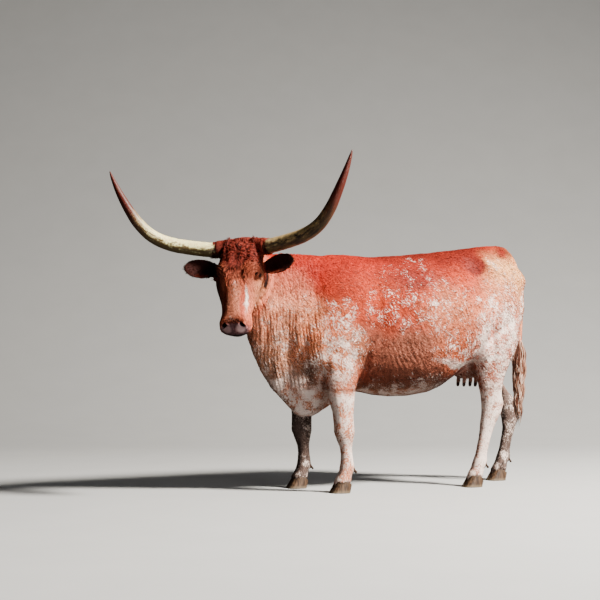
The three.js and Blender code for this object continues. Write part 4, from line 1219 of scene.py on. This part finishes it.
head_here = mark(markings, head_folded, (0, 0.25, -0.10), (0.20, 0.42, 0.22), 0.1)
slanting = along_lie(markings, frayed, 56, 0.0062, 0.017)
upright = along_lie(markings, frayed, 86, 0.006, 0.014)
inputs = {0: markings.math("MAXIMUM", legs_here, head_here), 4: slanting, 5: upright}
lie = markings.add("Mix", inputs, data_type="VECTOR").outputs[1]
streaks = markings.noise(lie, 1.0, 3.0, 0.6)
clouds = markings.noise(given["Place"], 17.0, 3.0)
hair_number = markings.plus(given["Hair"], 0.0, clamp=True)
net_lines = markings.ramp(markings.net(lie, 0.34), 0.16, 0.03)
choice = markings.times(markings.times(net_lines, net_share), 0.30)
for source, weight in ((streaks, 1.5), (clouds, 1.35), (hair_number, 0.52)):
    centred = markings.math("SUBTRACT", source, 0.5)
    choice = markings.plus(choice, markings.times(centred, weight))
roan = markings.ramp(markings.plus(white_share, markings.times(net_share, 0.3)), 0.0, 0.14)
choice = markings.plus(white_share, markings.times(choice, roan))
white_here = markings.ramp(choice, 0.34, 0.62)
print("markings nodes so far", len(group.nodes))

# %% [markdown]
# Red hair isn't one red: it darkens and lightens in fine lines along the lie, where the coat parts and
# closes, in longer dark wisps, and in broad clouds where the skin below is thicker or damp.

# %% Light and dark lines along the lie


def stretched_noise(squeeze, detail, roughness=0.5):
    """Noise along the lie of the hair."""
    return markings.noise(markings.vector("MULTIPLY", lie, squeeze), 1.0, detail, roughness)


lines = stretched_noise((1.5, 0.42, 1.5), 4.0, 0.65)
wisps = stretched_noise((0.9, 0.13, 0.9), 2.0)
broad = markings.noise(given["Place"], 4.5)
tone = markings.plus(0.64, markings.times(given["Hair"], 0.72))
tone = markings.times(tone, markings.ramp(broad, 0.30, 0.70, 0.84, 1.14))
tone = markings.times(tone, markings.ramp(lines, 0.30, 0.70, 0.42, 1.42))
tone = markings.times(tone, markings.ramp(wisps, 0.54, 0.68, 1.0, 0.42))
red_hair = markings.vector("MULTIPLY", hair_colour, markings.join(tone, tone, tone))
pale_tone = markings.ramp(lines, 0.28, 0.60, 0.62, 1.0)
white_hair = markings.vector("MULTIPLY", markings.join(pale_tone, pale_tone, pale_tone), PINK_WHITE)
group.links.new(markings.mixed(white_here, red_hair, white_hair), result["Colour"])
print("markings nodes", len(group.nodes))

# %% [markdown]
# Horn is layered, like a fingernail: cream below with streaks of green-brown that run along it, dark brown
# at the tip, and grey and rough near the root where the rings are. The pattern follows the horn because it
# reads the share of the way along and each point's place round it, both kept when the horn was made.

# %% Horn material
TIP = paint(84, 26, 16)
HORN_CREAM = paint(246, 222, 158)
HORN_OLIVE = paint(104, 84, 48)
HORN_ROOT = paint(96, 84, 68)


def horn_material(name, pale, dull):
    """Painted light and shade: paler where it faces up, darker below; with streaks along the horn and a dark
    tip.
    """
    material, nodes = new_material(name, Specular_IOR_Level=0.45, Coat_Weight=0.15, Coat_Roughness=0.3)
    along, wrap = nodes.attribute("along"), nodes.attribute("wrap", "Vector")
    streak = nodes.noise(wrap, 2.2, 5.0, 0.62)
    grain = nodes.noise(nodes.object_place(), 90.0, 3.0)
    # painted light: the pale share grows where the horn faces up
    upwards = nodes.split(nodes.add("NewGeometry").outputs["Normal"])["Z"]
    share = nodes.plus(nodes.times(upwards, 0.46), nodes.times(streak, 1.5))
    share = nodes.plus(share, nodes.times(grain, 0.45))
    light = nodes.mixed(nodes.ramp(grain, 0.35, 0.7), pale, tuple(min(1, c * 1.35) for c in pale))
    dark = nodes.mixed(nodes.ramp(streak, 0.35, 0.65), dull, HORN_OLIVE)
    colour = nodes.mixed(nodes.ramp(share, 0.82, 1.16), dark, light)
    frayed_along = nodes.plus(along, nodes.times(nodes.math("SUBTRACT", streak, 0.5), 0.40))
    colour = nodes.mixed(nodes.ramp(frayed_along, 0.46, 0.74), colour, TIP)
    colour = nodes.mixed(nodes.ramp(frayed_along, 0.15, 0.03), colour, HORN_ROOT)
    cracks = nodes.ramp(nodes.net(nodes.vector("MULTIPLY", wrap, (4.5, 4.5, 0.55)), 1.0), 0.0, 0.035)
    whole = nodes.plus(0.45, nodes.times(cracks, 0.55), clamp=True)
    colour = nodes.mixed(whole, HORN_OLIVE, colour)
    nodes.feed(Base_Color=colour, Roughness=nodes.ramp(grain, 0.2, 0.8, 0.34, 0.56))
    rings = nodes.noise(nodes.join(nodes.times(along, 70.0)), 1.0)
    height = nodes.plus(nodes.times(rings, nodes.ramp(along, 0.6, 0.1)), nodes.times(grain, 0.35))
    nodes.bump(nodes.plus(height, nodes.times(cracks, 0.5)), 0.5, 0.002)
    return material


# painted shade: her left horn takes darker colours than her right one
horns[0].data.materials.append(horn_material("horn sheath left", paint(170, 144, 98), paint(44, 34, 28)))
horns[1].data.materials.append(horn_material("horn sheath right", HORN_CREAM, paint(96, 76, 42)))
print("horn materials", [horn.data.materials[0].name for horn in horns])

# %% [markdown]
# The eye is dark brown with a pupil that lies level and a thin paler ring where the white begins. It shines
# little here, because in the photo no light is seen in it. Hoof horn is dark brown, streaked from top to
# sole, chalky with dust near the ground.

# %% Eye and hoof materials
wet_eye, nodes = new_material("eye", Roughness=0.10, Specular_IOR_Level=0.03)
front = nodes.attribute("front", "Vector")
iris = mark(nodes, front, (0, 0, 1), (0.60, 0.60, 0.9), 0.06)
pupil = mark(nodes, front, (0, 0, 1), (0.36, 0.20, 0.9), 0.10)
brown = nodes.mixed(nodes.noise(front, 9.0, 4.0), paint(18, 9, 6), paint(36, 18, 10))
colour = nodes.mixed(iris, paint(40, 24, 20), brown)
nodes.feed(Base_Color=nodes.mixed(pupil, colour, paint(6, 6, 10)))
for eye in eyes:
    eye.data.materials.append(wet_eye)

hoof_horn, nodes = new_material("hoof horn", Specular_IOR_Level=0.35)
here = cow_place(nodes)
down_the_wall = nodes.add("Mapping", {"Vector": here, "Scale": (160, 160, 18)}).outputs[0]
streak = nodes.noise(down_the_wall, 1.0, 3.0)
dust = nodes.times(nodes.ramp(nodes.split(here)["Z"], 0.022, 0.0), 0.55)
colour = nodes.mixed(nodes.ramp(streak, 0.35, 0.7), paint(54, 38, 28), paint(104, 78, 56))
colour = nodes.mixed(dust, colour, paint(150, 132, 108))
nodes.feed(Base_Color=colour, Roughness=nodes.ramp(streak, 0.3, 0.7, 0.45, 0.62))
nodes.bump(streak, 0.4, 0.001)
for hoof in hooves:
    hoof.data.materials.clear()
    hoof.data.materials.append(hoof_horn)
print("eye and hoof materials on", len(eyes) + len(hooves), "pieces")

# %% [markdown]
# The skin takes the markings, and over them the bare places: the damp muzzle with its fine pebbles, the
# inside of the ears, the udder and the teats. The two small claws behind each fetlock are part of the
# skin's own mesh, and a number kept on its points gives them the colour of horn.

# %% Skin
# name, whose places, middle, reach, softness, colour
BARE_SKIN = (
    # painted shade: the lower lip and chin under the muzzle are near black
    ("lower lip in painted shade", "head", (0, 0.510, -0.116), (0.10, 0.07, 0.048), 0.3, paint(44, 30, 32)),
    ("edge above the muzzle", "head", (0, 0.470, -0.014), (0.050, 0.014, 0.02), 0.5, paint(84, 34, 24)),
    # pale pink skin with a painted highlight: the nostril rims are near white
    ("nostril rim", "head", (0.038, 0.502, -0.042), (0.023, 0.026, 0.024), 0.40, paint(255, 204, 200)),
    # painted shade: near black inside the nostril openings
    ("nostril", "head", (0.050, 0.476, -0.034), (0.017, 0.022, 0.019), 0.3, paint(24, 12, 11)),
    ("udder", "cow", (0, 0.36, 0.60), (0.13, 0.15, 0.11), 0.2, paint(172, 118, 100)),
    ("teats", "cow", (0, 0.36, 0.545), (0.13, 0.15, 0.045), 0.15, paint(70, 46, 40)),
)
MUZZLE_MIDDLE, MUZZLE_REACH = (0, 0.515, -0.055), (0.085, 0.060, 0.055)


def inside_of_ear(where, away):
    """1 inside the cup of an ear, which opens forwards."""
    return regions(where)["ear"] * soft(away @ np.array(level * 0.9 - head_up * 0.25), 0.15, 0.50)


def dewclaws(where):
    """1 on the two small claws behind each fetlock: the rearmost points of a leg at their height."""
    cow = where - STEP
    low = (cow[:, 2] > 0.078) & (cow[:, 2] < 0.135)
    mask = np.zeros(len(cow))
    for leg in range(4):
        mine = low & ((cow[:, 0] > 0) == (leg % 2 == 0)) & ((cow[:, 1] < 0) == (leg < 2))
        mask[mine] = soft(cow[mine, 1], cow[mine, 1].max() - 0.030, cow[mine, 1].max() - 0.022)
    return mask


hide, nodes = new_material("hide", Specular_IOR_Level=0.14)
here = cow_place(nodes)
seen = seen_from_head(nodes, here)
to_her_left, on_head = seen[0], both_halves(nodes, *seen)
spots = {"cow": here, "head": on_head}
coat_colour = nodes.add("Group", {"Place": here, "Hair": 0.45}, node_tree=group).outputs["Colour"]
muzzle = mark(nodes, fray(nodes, on_head, 40, 0.012), MUZZLE_MIDDLE, MUZZLE_REACH, 0.22)
mottle = nodes.ramp(nodes.noise(here, 60.0, 3.0), 0.40, 0.62)
nose_pad = nodes.mixed(mottle, paint(120, 78, 78), paint(176, 122, 122))
# painted shade: her right half of the nose pad is darker
nose_pad = nodes.mixed(nodes.ramp(to_her_left, 0.020, -0.020, 0.0, 0.65), nose_pad, paint(58, 38, 42))
colour = nodes.mixed(muzzle, coat_colour, nose_pad)
for name, whose, middle, reach, softness, tint in BARE_SKIN:
    mask = mark(nodes, spots[whose], middle, reach, softness)
    # painted light: the rim on her left is brighter than the one on her right
    if name == "nostril rim":  # the left one is the paler
        mask = nodes.times(mask, nodes.ramp(to_her_left, -0.02, 0.02, 0.35, 1.0))
    colour = nodes.mixed(mask, colour, tint)
# the inside of the ears: dark skin with painted shade in the cup
colour = nodes.mixed(nodes.attribute("inner"), colour, paint(50, 20, 16))
colour = nodes.mixed(nodes.attribute("horny"), colour, paint(60, 42, 32))
nodes.feed(Base_Color=colour, Roughness=nodes.plus(0.64, nodes.times(muzzle, -0.34)))
pebbles = nodes.times(muzzle, nodes.ramp(nodes.net(here, 260.0), 0.0, 0.12))
nodes.bump(nodes.plus(nodes.times(nodes.noise(here, 220.0, 3.0), 0.5), pebbles), 0.45, 0.0012)
skin.data.materials.clear()
skin.data.materials.append(hide)
keep_values(skin.data, "inner", inside_of_ear(positions(skin.data), normals(skin.data)))
keep_values(skin.data, "horny", dewclaws(positions(skin.data)))
print("hide nodes", len(nodes.tree.nodes))

# %% [markdown]
# ## The coat
# The coat is short and lies flat: backwards and down on the trunk, down the legs, and on the head outwards
# from the whorl on the forehead. Roots are spread over the skin by area, a set seed keeps them the same in
# every run, and a table says for each region how long, wide and dense its tufts are.

# %% Roots on the skin
points, out = positions(skin.data), normals(skin.data)
corners = read(skin.data.polygons, "vertices", 3, np.int32)
unwrap = read(skin.data.uv_layers["OFBake"].data, "uv", 2).reshape(-1, 3, 2)
middles = points[corners].mean(1)
first, second, third = (points[corners[:, k]] for k in range(3))
area = np.linalg.norm(np.cross(second - first, third - first), axis=1) / 2
face_part = regions(middles)
print("skin area", round(float(area.sum()), 2), "square metres")


def roots_on(density, count, draw):
    """Places, outward directions and map places of roots, spread by area times density."""
    chance = area * density
    chosen = draw.choice(len(area), count, p=chance / chance.sum())
    a, b = draw.uniform(0, 1, (2, count))
    flip = a + b > 1
    a, b = np.where(flip, 1 - a, a), np.where(flip, 1 - b, b)
    weights = np.stack((1 - a - b, a, b), 1)[:, :, None]
    where, away = (points[corners[chosen]] * weights).sum(1), (out[corners[chosen]] * weights).sum(1)
    return where, unit(away), (unwrap[chosen] * weights).sum(1)


# %% [markdown]
# The lie of the hair is one field of directions over the whole body. Near the head it turns smoothly into
# the face's own, which spreads from the whorl.

# %% The lie of the hair
WHORL = np.array((0.0, 0.085, 0.02))
COWLICK = 0.22


def lie_of_hair(where, away):
    """The direction a hair lies in at each place, along the skin."""
    cow = where - STEP
    part = regions(where)
    low = soft(cow[:, 2], 1.15, 0.75)
    body = np.stack((np.zeros(len(cow)), np.ones(len(cow)), -0.25 - 0.95 * low), 1)
    rump = soft(cow[:, 1], 0.35, 0.60)[:, None]
    body = body * (1 - rump) + np.array((0, 0.25, -1.0)) * rump
    ahead = soft(cow[:, 1], -0.55, -0.75)[:, None]
    body = body * (1 - ahead) + np.array((0.1, 0.75, -0.85)) * ahead
    local = to_head(where)
    from_whorl = local - WHORL
    face = from_whorl / (np.linalg.norm(from_whorl, axis=1, keepdims=True) + 1e-6)
    face[:, 2] = -0.35
    face = face @ HEAD_TURN
    ear = np.sign(local[:, :1]) * np.array(head_left) - 0.2 * np.array(out_face)
    leg = np.array((0, 0.18, -1.0))
    field = body * (part["trunk"] + part["udder"])[:, None] + leg * (part["leg"] + part["tail"])[:, None]
    field += face * (part["head"] * (1 - part["ear"]))[:, None] + ear * part["ear"][:, None]
    for k, seed in enumerate((51, 52, 53)):
        field[:, k] += COWLICK * ripple(cow, 0.06, seed)
    field -= away * (field * away).sum(1, keepdims=True)
    return field / (np.linalg.norm(field, axis=1, keepdims=True) + 1e-9)


# %% [markdown]
# A tuft of the short coat is a flat sliver. Seen from eight metres one tuft is about as wide as a pixel,
# so together they give the fine streaks of a real coat, and their tips soften the outline.

# %% Coat material and the short coat
coat, nodes = new_material("coat", Roughness=0.60, Specular_IOR_Level=0.10)
one_hair = {"Place": cow_place(nodes), "Hair": nodes.attribute("shade")}
coat_colour = nodes.add("Group", one_hair, node_tree=group).outputs["Colour"]
# the inside of the ears: dark hair with painted shade in the cup
nodes.feed(Base_Color=nodes.mixed(nodes.attribute("inner"), coat_colour, paint(58, 24, 18)))

# name, tufts, length, half width, lift, and where: bounds of y on the cow
COAT_PIECES = (
    ("coat_neck", 33000, 0.017, 0.0015, 0.10, (-1.30, -0.62)),
    ("coat_shoulder", 33000, 0.017, 0.0015, 0.10, (-0.62, -0.26)),
    ("coat_barrel", 33000, 0.018, 0.0016, 0.10, (-0.26, 0.20)),
    ("coat_rump", 33000, 0.017, 0.0015, 0.10, (0.20, 0.80)),
    ("coat_legs", 33000, 0.010, 0.0011, 0.08, (-0.80, 0.90)),
    ("coat_head", 33000, 0.009, 0.0010, 0.10, (-1.50, -0.80)),
)


def bare_places(where):
    """1 where no hair grows: muzzle, eye openings, nostrils, dewclaws and teats."""
    local = to_head(where)
    folded = np.stack((np.abs(local[:, 0]), local[:, 1], local[:, 2]), 1)
    bare = np.sqrt(((folded - MUZZLE_MIDDLE) ** 2 / np.array(MUZZLE_REACH) ** 2).sum(1)) < 1.0
    for side in (1, -1):
        bare |= np.linalg.norm(where - np.array(eye_centre(side)), axis=1) < EYE_RADIUS + 0.004
        bare |= np.linalg.norm(where - np.array(nostril_centre(side)), axis=1) < 0.022
    bare |= dewclaws(where) > 0.3
    x, y, z = (where - STEP).T
    return bare | ((np.abs(x) < 0.13) & (np.abs(y - 0.36) < 0.15) & (z < 0.60) & (z > 0.50))


def coat_density(kind, bounds):
    """1 on the faces of the skin that a piece of the coat grows on."""
    back = middles[:, 1] - STEP[1]
    behind_head = face_part["head"] < 0.5
    leg = face_part["leg"] + face_part["tail"] > 0.5
    if kind == "coat_head":
        mine = face_part["head"] > 0.5
    else:
        mine = behind_head & (leg if kind == "coat_legs" else ~leg)
    return ((back > bounds[0]) & (back <= bounds[1]) & mine & ~bare_places(middles)).astype(float)


def short_coat(name, count, length, width, lift, bounds, seed):
    draw = np.random.default_rng(seed)
    where, away, root_map = roots_on(coat_density(name, bounds), count, draw)
    field = lie_of_hair(where, away)
    field = field + np.cross(away, field) * draw.normal(0, 0.14, (count, 1))
    size = draw.uniform(0.7, 1.3, count)
    s = np.array((0, 0.42, 1.0))[None, :, None]
    rise = lift * draw.uniform(0.5, 1.5, (count, 1, 1))
    reach = (length * size)[:, None, None]
    paths = where[:, None] - away[:, None] * 0.0006 + field[:, None] * s * reach
    paths = paths + away[:, None] * reach * rise * s * (1.35 - 0.45 * s)
    widths = np.array((0, 1.0, 0))[None] * (width * draw.uniform(0.75, 1.25, count))[:, None]
    piece = lay_locks(name, paths, widths, away, 0.55, draw.uniform(0, 1, count), root_map, coat)
    in_cup = inside_of_ear(where, away)
    keep_values(piece.data, "inner", np.repeat(in_cup, len(piece.data.vertices) // count))
    return piece


for seed, row in enumerate(COAT_PIECES):
    made = short_coat(*row, 100 + seed)
    print(made.name, len(made.data.polygons))

# %% [markdown]
# Between the horns and down to the eyes the hair is longer and wavy. Each curl is a lock that leaves the
# skin, swings to one side and back, and lies down again. The poll is round, so a long lock would stand off
# from it like a brush, and each one is bent down towards the skin. The curls get shorter towards the horns.
# Finer, straighter locks lead from them down the forehead.

# %% Curls of the poll and forehead
CURLS = 3300
FOREHEAD_LOCKS = 1800
WAVY_STATIONS = 8


def wavy_locks(name, roots, draw, length, width, rise, swing, spread=0.5, curve=0.0):
    """Locks that follow the lie of the hair and swing from side to side."""
    where, away, root_map = roots
    count = len(where)
    field = lie_of_hair(where, away)
    side = np.cross(away, field)
    s = np.linspace(0, 1, WAVY_STATIONS)[None, :, None]
    reach = (length * draw.uniform(0.65, 1.3, count))[:, None, None]
    turn = draw.uniform(0, 2 * np.pi, (count, 1, 1))
    sway = swing * reach * np.sin(s * 5.2 + turn) * s
    bow = rise * draw.uniform(0.5, 1.4, (count, 1, 1)) * np.sin(np.pi * np.minimum(1, s * 1.05)) ** 0.8
    paths = where[:, None] - away[:, None] * 0.0012 + field[:, None] * s * reach + side[:, None] * sway
    paths = paths + away[:, None] * (bow + 0.0015 * s)
    paths -= away[:, None] * curve * (s * reach) ** 2
    profile = np.sin(np.pi * np.linspace(0.06, 0.97, WAVY_STATIONS)) ** 0.6
    widths = profile[None] * (width * draw.uniform(0.7, 1.3, count))[:, None]
    shade = draw.uniform(0.5 - spread, 0.5 + spread, count)
    return lay_locks(name, paths, widths, away, 0.6, shade, root_map, coat)


def poll_density():
    x, y, z = to_head(middles).T
    top = soft(y, 0.165, 0.08) * soft(np.abs(x), 0.125, 0.100) * soft(z, -0.10, -0.05) * face_part["head"]
    return top * (y > -0.08)


def forehead_density():
    x, y, z = to_head(middles).T
    down = soft(y, 0.08, 0.13) * soft(y, 0.27, 0.20)
    return down * soft(np.abs(x), 0.062, 0.042) * soft(z, -0.06, -0.03) * face_part["head"]


draw = np.random.default_rng(77)
roots = roots_on(poll_density(), CURLS, draw)
curl_length = 0.040 * (1 - 0.68 * soft(np.abs(to_head(roots[0])[:, 0]), 0.035, 0.080))
curls = wavy_locks("poll_curls", roots, draw, curl_length, 0.0026, 0.0034, 0.34, 1.3, 6.5)
roots = roots_on(forehead_density(), FOREHEAD_LOCKS, draw)
forehead = wavy_locks("forehead_hair", roots, draw, 0.030, 0.0016, 0.0014, 0.16, 1.4, 2.0)
print("curl and forehead triangles", len(curls.data.polygons), len(forehead.data.polygons))

# %% [markdown]
# The ears carry a fringe on their rims and long soft hair inside, which is dark because the cup is in
# shade and the skin there is dark.

# %% Hair of the ears
EAR_LOCKS = 900


def ear_density():
    facing = out[corners].mean(1) @ np.array(level)
    edge = hump(facing, 0, 0.45)
    return face_part["ear"] * (0.25 + edge) * (np.abs(to_head(middles)[:, 0]) > 0.125)


draw = np.random.default_rng(78)
roots = roots_on(ear_density(), EAR_LOCKS, draw)
ear_hair = wavy_locks("ear_hair", roots, draw, 0.018, 0.0012, 0.0025, 0.10)
in_cup = inside_of_ear(roots[0], roots[1])
keep_values(ear_hair.data, "inner", np.repeat(in_cup, len(ear_hair.data.vertices) // EAR_LOCKS))
print("ear hair triangles", len(ear_hair.data.polygons))

# %% [markdown]
# ## The end
# The dressed cow has to stay the size of the solids.
